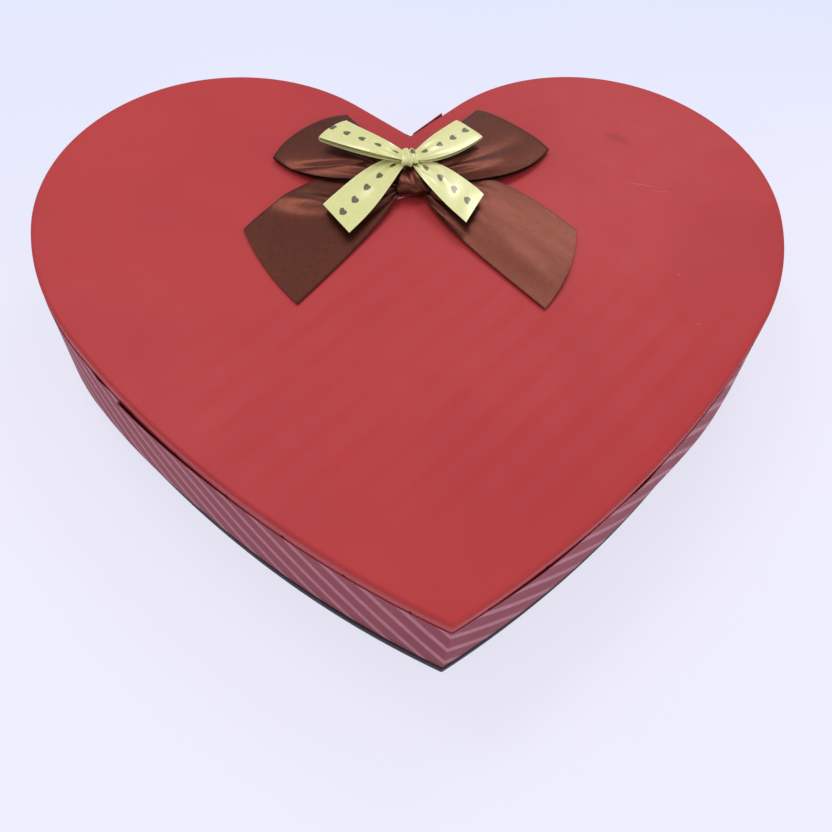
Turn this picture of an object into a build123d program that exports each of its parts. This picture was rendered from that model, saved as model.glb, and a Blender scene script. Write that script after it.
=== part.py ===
"""Heart-shaped gift box: a deep lift-off lid with a ribbon bow, over a tray on a thin base.

Millimetres, +Z up. The origin is under the middle of the box, on the face it stands on.
The heart's point is towards -Y and its two lobes are towards +Y.
"""
import os
from dataclasses import dataclass
from math import acos, atan2, cos, degrees, pi, radians, sin, sqrt, tan

from build123d import *

# Heart outline, on the outside of the pasted paper
LOBE_SPACING = 145.0  # between the tops of the two lobes
CROWN_RADIUS = 77.5  # round top and shoulder of each lobe
SIDE_RADIUS = 115.0  # slower curve below the shoulder
SIDE_TURN = 8.0  # degrees below the widest place where the slower curve begins
FLANK_RADIUS = 400.0  # long sweep down to the point
HEART_DEPTH = 252.0  # from the lobe tops to the point
CLEFT_SLOPE = 41.5  # degrees, straight run from the cleft up to the crown

# Board and paper
BOX_HEIGHT = 50.0  # from the table to the top of the lid, without the bow
TOP_BOARD = 2.0
BASE_BOARD = 3.0
WALL_BOARD = 1.5
PAPER = 0.3
LINING = 0.3
EDGE_ROLL = 1.5  # bevel that softens the top board's upper edge

# Fits between the lid and the tray
SKIRT_LEAN = 0.8  # the skirt leans in by this much, from the lid's top to the table
SEAT_GAP = 0.2  # under the skirt, above the base's edge
SLIDE_GAP = 0.8  # between the skirt's foot and the tray
HEADROOM = 5.0  # above the tray's rim, under the lid's lining

# Pasted margins of the papers
COVER_TURN_DOWN = 14.0
SNIP_PITCH = 24.0
SNIP_WIDTH = 1.2
SNIP_DEPTH = 9.0
SKIRT_TURN_IN = 9.0
BASE_TURN_IN = 14.0
TRAY_TURN_DOWN = 12.0
RIM = 7.0  # red left showing above the striped strips
TIP_LAP = 3.5  # the left strip goes this far round the point
CLEFT_LAP = 13.5  # and this far past the cleft

# Brown bow
RIBBON = 40.0
SATIN = 0.5
LAYER_GAP = 0.3  # between ribbons that lie on each other
BOW_X = -2.0
BOW_FROM_CLEFT = 34.5  # knot centre in front of the cleft
WAIST = 11.0  # gathered width inside the knot
OPENING_RUN = 27.0  # run over which the ribbon opens to its full width
PLEAT = 0.35
KNOT_WIDTH = 13.0
KNOT_EASE = 1.7  # room beside the gathered ribbon, inside the knot
KNOT_LEAD = 8.0  # run along which an arm turns from the knot to its own direction
LOOP_CORE = 3.0  # hollow between a loop's layers at the waist
LOOP_LIFT = 1.0  # rise of a whole loop half-way out
LOOP_BELLY = 0.9  # further rise of its upper layer
LOOP_CROWN = 0.9  # further rise at the middle of its width
FOLD_HEIGHT = 2.4
FOLD_LIFT = 0.8  # loop ends above the lid
LOOP_SETTLE = 3.0  # power of the loops' fall: they stay level and drop late
LEFT_LOOP_REACH = 52.0
LEFT_LOOP_ANGLE = 141.5
LEFT_LOOP_SKEW = 2.0
RIGHT_LOOP_REACH = 57.5
RIGHT_LOOP_ANGLE = 37.5
RIGHT_LOOP_SKEW = -1.0
LEFT_TAIL_REACH = 67.0
LEFT_TAIL_ANGLE = 214.0
LEFT_TAIL_SKEW = -13.5
RIGHT_TAIL_REACH = 69.0
RIGHT_TAIL_ANGLE = -37.0
RIGHT_TAIL_SKEW = 21.0
TAIL_ARCH = 1.2
TAIL_HUMP = 0.2

# Yellow trim on the bow
TRIM_RIBBON = 16.0
TRIM_SATIN = 0.4
TRIM_X = -3.0
TRIM_BEHIND = 6.0  # trim knot behind the brown knot's centre
TRIM_WAIST = 5.0
TRIM_OPENING_RUN = 14.0
TRIM_PLEAT = 0.3
TRIM_KNOT_WIDTH = 5.0
TRIM_KNOT_EASE = 1.4
TRIM_KNOT_LEAD = 4.0
TRIM_CORE = 0.9
TRIM_LIFT = 1.6
TRIM_BELLY = 1.0
TRIM_CROWN = 0.5
TRIM_FOLD_HEIGHT = 2.0
TRIM_LOOP_SETTLE = 0.5  # these rise at once, over the brown loops
TRIM_LEFT_LOOP_REACH = 35.0
TRIM_LEFT_LOOP_ANGLE = 145.5
TRIM_LEFT_LOOP_SKEW = -7.0
TRIM_RIGHT_LOOP_REACH = 33.0
TRIM_RIGHT_LOOP_ANGLE = 38.5
TRIM_RIGHT_LOOP_SKEW = -2.0
TRIM_LEFT_TAIL_REACH = 38.0
TRIM_LEFT_TAIL_ANGLE = 219.5
TRIM_LEFT_TAIL_SKEW = -14.0
TRIM_RIGHT_TAIL_REACH = 33.0
TRIM_RIGHT_TAIL_ANGLE = -41.0
TRIM_RIGHT_TAIL_SKEW = 20.5
TRIM_TAIL_ARCH = 0.6
TRIM_TAIL_HUMP = 1.5
TRIM_LEFT_DROOP = 2.6
TRIM_RIGHT_DROOP = 1.2

# Hot glue under the knot
GLUE_HEIGHT = 0.8
GLUE_LENGTH = 15.6
GLUE_WIDTH = 11.0
GLUE_DROP = 1.4  # radius of the drop squeezed out at the knot's left
GLUE_DROP_HEIGHT = 1.2

# Fineness of the faceted ribbons
FACETS = 6  # flats across a ribbon
STATIONS = 8  # sections along an arm
FOLD_STEPS = 4  # flats round the fold at a loop's end

# Heights that follow from the sizes above
base_edge = BASE_BOARD + 2 * PAPER
skirt_bottom = base_edge + SEAT_GAP
lid_board_top = BOX_HEIGHT - PAPER
lid_board_bottom = lid_board_top - TOP_BOARD
lid_ceiling = lid_board_bottom - LINING
tray_rim = lid_ceiling - HEADROOM
cover_foot = lid_board_top - COVER_TURN_DOWN
strip_top = BOX_HEIGHT - RIM
skirt_foot = SKIRT_LEAN * (1 - skirt_bottom / BOX_HEIGHT)

# Insets of the nested layers, from the outside of the paper: the base is cut to the skirt's foot
lid_wall_out = 2 * PAPER
lid_wall_in = lid_wall_out + WALL_BOARD
skirt_in = lid_wall_in + PAPER
tray_out = skirt_foot + skirt_in + SLIDE_GAP
tray_wall_out = tray_out + PAPER
tray_wall_in = tray_wall_out + WALL_BOARD
tray_in = tray_wall_in + PAPER

# Arc centres of the right half, before the outline is centred on the origin
centre_shift = Vector(0, HEART_DEPTH / 2 - CROWN_RADIUS)
crown_centre = Vector(LOBE_SPACING / 2, 0)
side_centre = crown_centre - Vector(SIDE_RADIUS - CROWN_RADIUS, 0).rotate(Axis.Z, -SIDE_TURN)
point = Vector(0, CROWN_RADIUS - HEART_DEPTH)
to_side = side_centre - point
flank_reach = FLANK_RADIUS - SIDE_RADIUS
flank_cosine = (to_side.length**2 + FLANK_RADIUS**2 - flank_reach**2) / (2 * to_side.length * FLANK_RADIUS)
flank_lean = degrees(acos(flank_cosine))
flank_centre = point + to_side.normalized().rotate(Axis.Z, flank_lean) * FLANK_RADIUS
flank_start = side_centre - flank_centre
flank_angle = degrees(atan2(flank_start.Y, flank_start.X))


def on_arc(centre, radius, angle):
    """Point on one of the outline's arcs, with the outline centred on the origin."""
    return centre + Vector(radius, 0).rotate(Axis.Z, angle) + centre_shift


def half_outline(inset):
    """Edges of the right half of the heart, from the cleft round to the point."""
    crown = CROWN_RADIUS - inset
    flank = FLANK_RADIUS - inset
    slope = radians(CLEFT_SLOPE)
    cleft = Vector(0, crown / cos(slope) - crown_centre.X * tan(slope)) + centre_shift
    tip_angle = -degrees(acos(-flank_centre.X / flank))
    edges = [Line(cleft, on_arc(crown_centre, crown, 90 + CLEFT_SLOPE))]
    for centre, radius, first, last in (
        (crown_centre, crown, 90 + CLEFT_SLOPE, -SIDE_TURN),
        (side_centre, SIDE_RADIUS - inset, -SIDE_TURN, flank_angle),
        (flank_centre, flank, flank_angle, tip_angle),
    ):
        places = [on_arc(centre, radius, angle) for angle in (first, (first + last) / 2, last)]
        edges.append(ThreePointArc(*places))
    return edges


def half_heart(inset):
    """Face of the right half of the heart."""
    edges = half_outline(inset)
    return make_face(edges + [Line(edges[-1] @ 1, edges[0] @ 0)])


def heart(inset):
    """Face of the whole heart."""
    right = half_outline(inset)
    return make_face(right + [mirror(edge, about=Plane.YZ) for edge in right])


def slab(face, bottom, top):
    """A flat face made into a plate between two heights."""
    return extrude(Pos(0, 0, bottom) * face, top - bottom)


def half_band(outer, inner, bottom, top):
    """Right half of an upright band between two insets of the heart."""
    return slab(half_heart(outer) - half_heart(inner), bottom, top)


def leaning(face, inset, bottom, top):
    """Plug of the skirt's leaning form: face(inset) is its plan at the lid's top."""
    ends = [Pos(0, 0, z) * face(inset + SKIRT_LEAN * (1 - z / BOX_HEIGHT)) for z in (bottom, top)]
    return loft(ends, ruled=True)


def capped(inset, bottom, top, roll):
    """Leaning plug of the whole heart with its upper edge bevelled."""
    shoulder = top - roll
    rims = [Pos(0, 0, shoulder) * heart(inset + SKIRT_LEAN * (1 - shoulder / BOX_HEIGHT))]
    rims.append(Pos(0, 0, top) * heart(inset + SKIRT_LEAN * (1 - top / BOX_HEIGHT) + roll))
    return leaning(heart, inset, bottom, shoulder) + loft(rims, ruled=True)


def half_skirt(outer, inner, bottom, top):
    """Right half of a band that leans with the skirt."""
    return leaning(half_heart, outer, bottom, top) - leaning(half_heart, inner, bottom, top)


def band(outer, inner, bottom, top):
    """Whole upright band between two insets of the heart."""
    return slab(heart(outer) - heart(inner), bottom, top)


def to_left(solid):
    """Mirror image of a right-hand piece."""
    return mirror(solid, about=Plane.YZ)


tip_y = (half_outline(0)[-1] @ 1).Y
cleft_y = (half_outline(0)[0] @ 0).Y


# Lid: boards and lining
def lid_board():
    return capped(lid_wall_out, lid_board_bottom, lid_board_top, EDGE_ROLL)


def lid_wall():
    return half_skirt(lid_wall_out, lid_wall_in, skirt_bottom + PAPER, lid_board_bottom)


def lid_lining():
    return leaning(heart, lid_wall_in, lid_ceiling, lid_board_bottom)


# Lid: the red sheet, turned down over the wall and snipped so that it lies round the curves
def snips():
    """Narrow notches up from the turn-down's lower edge, spaced along each stretch of the outline."""
    notch = Polygon((-SNIP_WIDTH / 2, 0), (SNIP_WIDTH / 2, 0), (0, SNIP_DEPTH), align=None)
    cuts = []
    for edge in half_outline(PAPER):
        count = int(edge.length / SNIP_PITCH)
        for number in range(count):
            where = (number + 0.5) / count
            spot = edge @ where
            along = edge % where
            plane = Plane(Vector(spot.X, spot.Y, cover_foot), x_dir=along, z_dir=along.cross(Vector(0, 0, 1)))
            cuts.append(extrude(plane * notch, 2 * PAPER, both=True))
    return cuts + [to_left(cut) for cut in cuts]


def lid_cover_paper():
    roll_outside = EDGE_ROLL + PAPER * (2 - sqrt(2))
    outside = capped(PAPER, cover_foot, BOX_HEIGHT, roll_outside)
    return outside - capped(lid_wall_out, cover_foot, lid_board_top, EDGE_ROLL) - snips()


# Lid: striped strips, pasted over the turn-down with its rim left showing
def side_strip():
    """Right-hand strip: lapped on the red sheet, pasted to the wall and turned in under the skirt."""
    under_wall = skirt_bottom + PAPER
    strip = leaning(half_heart, 0, skirt_bottom, strip_top)
    strip -= leaning(half_heart, PAPER, cover_foot, strip_top)
    strip -= leaning(half_heart, lid_wall_out, under_wall, cover_foot)
    strip -= leaning(half_heart, lid_wall_in, skirt_bottom, under_wall)
    return strip + half_skirt(lid_wall_in, skirt_in, skirt_bottom, skirt_bottom + SKIRT_TURN_IN)


def lap_zone():
    """Where the left strip's ends run past the middle, at the point and at the cleft."""
    zones = []
    for lap, y in ((TIP_LAP, tip_y), (CLEFT_LAP, cleft_y)):
        zones.append(Pos(lap / 2, y, BOX_HEIGHT / 2) * Box(lap, HEART_DEPTH / 2, BOX_HEIGHT))
    return zones[0] + zones[1]


def side_papers():
    """Left and right strips, which butt where the left one's laps end."""
    right = side_strip()
    return to_left(right) + (right & lap_zone()), right - lap_zone()


# Base: board wrapped in black paper, with the tray standing inside its edge
def base_board():
    return slab(heart(skirt_foot + PAPER), PAPER, PAPER + BASE_BOARD)


def base_paper():
    sheet = slab(heart(skirt_foot), 0, PAPER)
    edge = band(skirt_foot, skirt_foot + PAPER, PAPER, PAPER + BASE_BOARD)
    return sheet + edge + band(skirt_foot, skirt_foot + BASE_TURN_IN, PAPER + BASE_BOARD, base_edge)


def tray_wall():
    return half_band(tray_wall_out, tray_wall_in, base_edge, tray_rim - PAPER)


def tray_paper():
    outside = half_band(tray_out, tray_wall_out, base_edge, tray_rim - PAPER)
    over_rim = half_band(tray_out, tray_in, tray_rim - PAPER, tray_rim)
    return outside + over_rim + half_band(tray_wall_in, tray_in, tray_rim - TRAY_TURN_DOWN, tray_rim - PAPER)


def floor_lining():
    return slab(heart(tray_wall_in), base_edge, base_edge + LINING)


# Bow: ribbons skinned with flat facets through sections at stations along each arm
def facet(*corners):
    """Flat face between corners."""
    return Face(Wire.make_polygon(corners))


def facets(sections, following):
    """Triangles between each section and the one that follows it."""
    faces = []
    for here, there in zip(sections, following):
        for number, corner in enumerate(here):
            after = (number + 1) % len(here)
            faces.append(facet(corner, here[after], there[after]))
            faces.append(facet(corner, there[after], there[number]))
    return faces


def ribbon_length(sections):
    """Length of ribbon through sections, with both ends cut."""
    cuts = [facet(*sections[0]), facet(*sections[-1])]
    return Solid(Shell(facets(sections, sections[1:]) + cuts))


def ribbon_ring(sections):
    """Ribbon through sections that closes on itself."""
    return Solid(Shell(facets(sections, sections[1:] + sections[:1])))


@dataclass
class Arm:
    """One loop or tail: its reach from the knot, its direction, how its end turns from square, its end's height."""

    reach: float
    angle: float
    skew: float
    end_z: float

    @property
    def side(self):
        """Plus one for an arm on the right, minus one on the left."""
        return 1 if cos(radians(self.angle)) > 0 else -1


@dataclass
class Bow:
    """A ribbon gathered to a waist inside its knot, with its layers stacked up from the knot's underside."""

    x: float
    y: float
    knot_bottom: float
    ribbon: float
    satin: float
    waist: float
    opening_run: float
    pleat: float
    knot_width: float
    knot_ease: float
    lead: float
    core: float
    lift: float
    belly: float
    crown: float
    fold: float
    settle: float

    @property
    def tails_z(self):
        return self.knot_bottom + self.satin + LAYER_GAP

    @property
    def loops_z(self):
        return self.tails_z + self.satin + LAYER_GAP

    @property
    def knot_top(self):
        return self.loops_z + self.core + 3 * self.satin + LAYER_GAP

    @property
    def neck(self):
        """Distance from the middle at which an arm is clear of the knot."""
        return self.knot_width / 2 + self.satin

    def stations(self, arm):
        """Spots, headings, slants and shares of the way out, from the knot's side to the arm's end."""
        side = Vector(arm.side * self.neck, 0)
        bend = Vector(arm.side * (self.neck + self.lead), 0)
        end = Vector(arm.reach, 0).rotate(Axis.Z, arm.angle)
        places = []
        for number in range(STATIONS + 1):
            share = number / STATIONS
            spot = side * (1 - share) ** 2 + bend * (2 * share * (1 - share)) + end * share**2
            run = ((bend - side) * (1 - share) + (end - bend) * share) * arm.side
            slant = arm.skew * share**2
            heading = degrees(atan2(run.Y, run.X)) + slant
            out = (spot.length - self.neck) / (arm.reach - self.neck)
            places.append((spot, heading, slant, out))
        return places

    def section(self, spot, heading, slant, z, arch):
        """Corners along the ribbon's underside and back along its top: arched, and pleated while it opens out."""
        opening = min(1.0, max(0.0, (spot.length - self.neck) / self.opening_run))
        width = (self.waist + (self.ribbon - self.waist) * sin(opening * pi / 2)) / cos(radians(slant))
        pleat = self.pleat * sin(opening * pi)
        half = Vector(0, width / 2).rotate(Axis.Z, heading)
        middle = Vector(self.x + spot.X, self.y + spot.Y, z)
        under = []
        for number, across in enumerate(self.across()):
            lift = arch * (1 - across**2) + pleat * (number % 2)
            under.append(middle + half * across + Vector(0, 0, lift))
        return under + [corner + Vector(0, 0, self.satin) for corner in reversed(under)]

    def across(self):
        """Places of a section's corners across the ribbon, from minus one to plus one."""
        return [2 * number / FACETS - 1 for number in range(FACETS + 1)]

    def layer(self, left, right, rise, arch):
        """Sections of one layer, end to end: rise(arm, out) is its height and arch(out) its crown."""
        sections = []
        for arm in (left, right):
            sections.reverse()
            for *place, out in self.stations(arm):
                sections.append(self.section(*place, rise(arm, out), arch(out)))
        return sections

    def tails(self, left, right, arch, hump):
        """Both tails and the waist between them, as one length of ribbon that humps up before it falls."""

        def rise(arm, out):
            return self.tails_z + (arm.end_z - self.tails_z) * out + hump * sin(out * pi)

        return ribbon_length(self.layer(left, right, rise, lambda out: arch * sin(out * pi) ** 2))

    def loops(self, left, right):
        """Both loops as one pressed ring of ribbon, open along its edges and folded at its ends."""

        def lower_rise(arm, out):
            return self.loops_z + (arm.end_z - self.loops_z) * out**self.settle + self.lift * sin(out * pi)

        def upper_rise(arm, out):
            pressed = (self.satin + self.core) * (1 - out) + (self.fold - self.satin) * out
            return lower_rise(arm, out) + pressed + self.belly * sin(out * pi) ** 2

        upper = self.layer(left, right, upper_rise, lambda out: self.crown * sin(out * pi) ** 2)
        lower = [section[::-1] for section in self.layer(left, right, lower_rise, lambda out: 0)]
        return ribbon_ring(upper + self.fold_end(right) + lower[::-1] + self.fold_end(left)[::-1])

    @property
    def loops_top(self):
        """No part of the loops is higher than this."""
        half_way = self.loops_z + self.lift + (self.core + self.fold) / 2 + self.belly
        return half_way + self.crown + self.pleat + self.satin

    def fold_end(self, arm):
        """Sections round the fold at a loop's outer end, from its upper layer to its lower one."""
        spot, heading, slant, _ = self.stations(arm)[-1]
        run = Vector(arm.side, 0).rotate(Axis.Z, heading)
        half = Vector(0, self.ribbon / 2 / cos(radians(slant))).rotate(Axis.Z, heading)
        middle = Vector(self.x + spot.X, self.y + spot.Y, arm.end_z + self.fold / 2)
        sections = []
        for number in range(1, FOLD_STEPS):
            turn = pi * number / FOLD_STEPS
            out = run * sin(turn) + Vector(0, 0, cos(turn))
            inside = middle + out * (self.fold / 2 - self.satin)
            outside = middle + out * (self.fold / 2)
            near = [inside + half * across for across in self.across()]
            far = [outside + half * across for across in reversed(self.across())]
            sections.append(near + far)
        return sections

    def knot(self):
        """Band round the waist of the loops and tails."""
        wide = self.waist + 2 * self.knot_ease
        tall = self.knot_top - self.knot_bottom - 2 * self.satin
        ring = SlotOverall(wide + 2 * self.satin, tall + 2 * self.satin) - SlotOverall(wide, tall)
        middle = Vector(self.x, self.y, (self.knot_top + self.knot_bottom) / 2)
        plane = Plane(middle, x_dir=(0, 1, 0), z_dir=(1, 0, 0))
        return extrude(plane * ring, self.knot_width / 2, both=True)


bow = Bow(
    x=BOW_X,
    y=cleft_y - BOW_FROM_CLEFT,
    knot_bottom=BOX_HEIGHT + GLUE_HEIGHT,
    ribbon=RIBBON,
    satin=SATIN,
    waist=WAIST,
    opening_run=OPENING_RUN,
    pleat=PLEAT,
    knot_width=KNOT_WIDTH,
    knot_ease=KNOT_EASE,
    lead=KNOT_LEAD,
    core=LOOP_CORE,
    lift=LOOP_LIFT,
    belly=LOOP_BELLY,
    crown=LOOP_CROWN,
    fold=FOLD_HEIGHT,
    settle=LOOP_SETTLE,
)
trim = Bow(
    x=TRIM_X,
    y=bow.y + TRIM_BEHIND,
    knot_bottom=bow.knot_top,
    ribbon=TRIM_RIBBON,
    satin=TRIM_SATIN,
    waist=TRIM_WAIST,
    opening_run=TRIM_OPENING_RUN,
    pleat=TRIM_PLEAT,
    knot_width=TRIM_KNOT_WIDTH,
    knot_ease=TRIM_KNOT_EASE,
    lead=TRIM_KNOT_LEAD,
    core=TRIM_CORE,
    lift=TRIM_LIFT,
    belly=TRIM_BELLY,
    crown=TRIM_CROWN,
    fold=TRIM_FOLD_HEIGHT,
    settle=TRIM_LOOP_SETTLE,
)


def bow_tails():
    lie = BOX_HEIGHT + LAYER_GAP
    left = Arm(LEFT_TAIL_REACH, LEFT_TAIL_ANGLE, LEFT_TAIL_SKEW, lie)
    right = Arm(RIGHT_TAIL_REACH, RIGHT_TAIL_ANGLE, RIGHT_TAIL_SKEW, lie)
    return bow.tails(left, right, TAIL_ARCH, TAIL_HUMP)


def bow_loops():
    lie = BOX_HEIGHT + FOLD_LIFT
    left = Arm(LEFT_LOOP_REACH, LEFT_LOOP_ANGLE, LEFT_LOOP_SKEW, lie)
    right = Arm(RIGHT_LOOP_REACH, RIGHT_LOOP_ANGLE, RIGHT_LOOP_SKEW, lie)
    return bow.loops(left, right)


def trim_tails():
    left_z = trim.tails_z - TRIM_LEFT_DROOP
    right_z = trim.tails_z - TRIM_RIGHT_DROOP
    left = Arm(TRIM_LEFT_TAIL_REACH, TRIM_LEFT_TAIL_ANGLE, TRIM_LEFT_TAIL_SKEW, left_z)
    right = Arm(TRIM_RIGHT_TAIL_REACH, TRIM_RIGHT_TAIL_ANGLE, TRIM_RIGHT_TAIL_SKEW, right_z)
    return trim.tails(left, right, TRIM_TAIL_ARCH, TRIM_TAIL_HUMP)


def trim_loops():
    over_bow = bow.loops_top + LAYER_GAP
    left = Arm(TRIM_LEFT_LOOP_REACH, TRIM_LEFT_LOOP_ANGLE, TRIM_LEFT_LOOP_SKEW, over_bow)
    right = Arm(TRIM_RIGHT_LOOP_REACH, TRIM_RIGHT_LOOP_ANGLE, TRIM_RIGHT_LOOP_SKEW, over_bow)
    return trim.loops(left, right)


def glue_bead():
    """Pad of hot glue between the lid and the knot, with a drop squeezed out beside it."""
    pad = slab(Pos(bow.x, bow.y) * Ellipse(GLUE_LENGTH / 2, GLUE_WIDTH / 2), BOX_HEIGHT, bow.knot_bottom)
    drop = Cone(GLUE_DROP, GLUE_DROP / 2, GLUE_DROP_HEIGHT, align=(Align.CENTER, Align.CENTER, Align.MIN))
    return pad + Pos(bow.x - GLUE_LENGTH / 2, bow.y, BOX_HEIGHT) * drop


strip_left, strip_right = side_papers()
nodes = {
    "lid_board": lid_board(),
    "lid_wall_left": to_left(lid_wall()),
    "lid_wall_right": lid_wall(),
    "lid_lining": lid_lining(),
    "lid_cover_paper": lid_cover_paper(),
    "side_paper_left": strip_left,
    "side_paper_right": strip_right,
    "base_board": base_board(),
    "base_paper": base_paper(),
    "tray_wall_left": to_left(tray_wall()),
    "tray_wall_right": tray_wall(),
    "tray_paper_left": to_left(tray_paper()),
    "tray_paper_right": tray_paper(),
    "floor_lining": floor_lining(),
    "bow_tails": bow_tails(),
    "bow_loops": bow_loops(),
    "bow_knot": bow.knot(),
    "trim_tails": trim_tails(),
    "trim_loops": trim_loops(),
    "trim_knot": trim.knot(),
    "glue_bead": glue_bead(),
}

os.makedirs("parts", exist_ok=True)
for name, solid in nodes.items():
    export_step(solid, f"parts/{name}.step")
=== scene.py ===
"""Dresses the heart gift box: red and striped papers, greyboard, two satin bows and a plain studio.

Lengths are metres, in the frame's own axes: +Z up and the heart's point towards -Y.
"""

import logging
import math
from collections.abc import Sequence
from dataclasses import dataclass, field, replace
from enum import Enum
from typing import NamedTuple

import bpy
import numpy as np
from mathutils import Matrix, Vector


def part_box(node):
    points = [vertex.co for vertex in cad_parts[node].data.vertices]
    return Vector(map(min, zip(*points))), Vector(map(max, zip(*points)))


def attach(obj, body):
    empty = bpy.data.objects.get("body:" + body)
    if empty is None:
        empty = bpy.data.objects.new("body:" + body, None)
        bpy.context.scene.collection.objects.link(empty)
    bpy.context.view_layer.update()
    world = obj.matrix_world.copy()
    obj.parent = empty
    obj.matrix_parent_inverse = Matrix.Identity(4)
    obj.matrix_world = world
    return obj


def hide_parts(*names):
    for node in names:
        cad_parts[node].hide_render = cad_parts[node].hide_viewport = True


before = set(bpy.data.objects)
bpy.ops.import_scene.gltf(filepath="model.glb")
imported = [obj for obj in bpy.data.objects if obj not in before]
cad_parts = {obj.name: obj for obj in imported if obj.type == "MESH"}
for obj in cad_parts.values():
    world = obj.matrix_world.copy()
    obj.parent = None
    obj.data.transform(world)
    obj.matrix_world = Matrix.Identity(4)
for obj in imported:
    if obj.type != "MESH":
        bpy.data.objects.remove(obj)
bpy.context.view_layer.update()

MM = 0.001
LID_TOP = 50 * MM
LOG = logging.getLogger("heart_box")

Colour = tuple[float, float, float, float]
Point = tuple[float, float]
Socket = bpy.types.NodeSocket
Material = bpy.types.Material
Piece = bpy.types.Object


class Body(Enum):
    """The two bodies of the box."""

    LID = "lid"
    BASE = "base"


class Slot(Enum):
    """Names of the material slots."""

    RED = "red_paper"
    STRIPED = "striped_paper"
    BLACK = "black_paper"
    BROWN = "brown_satin"
    YELLOW = "yellow_satin"
    GLUE = "hot_glue"


def srgb(*levels: int) -> Colour:
    """Linear colour, with an alpha of one, of a screen colour's red, green and blue of 0 to 255."""
    shares = [level / 255 for level in levels]
    return (*(c / 12.92 if c <= 0.04045 else ((c + 0.055) / 1.055) ** 2.4 for c in shares), 1.0)


def smooth(share: np.ndarray) -> np.ndarray:
    """Smooth step of values held between 0 and 1."""
    held = np.clip(share, 0, 1)
    return held * held * (3 - 2 * held)


def hill(places: np.ndarray, centre: float, width: float) -> np.ndarray:
    """Soft hill of height 1 about a centre, falling away over a width."""
    return np.exp(-(((places - centre) / width) ** 2))


def run_along(points: np.ndarray) -> np.ndarray:
    """Distance of each point from the first, along their line."""
    steps = np.linalg.norm(np.diff(points, axis=0), axis=1)
    return np.concatenate([[0], np.cumsum(steps)])


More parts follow.
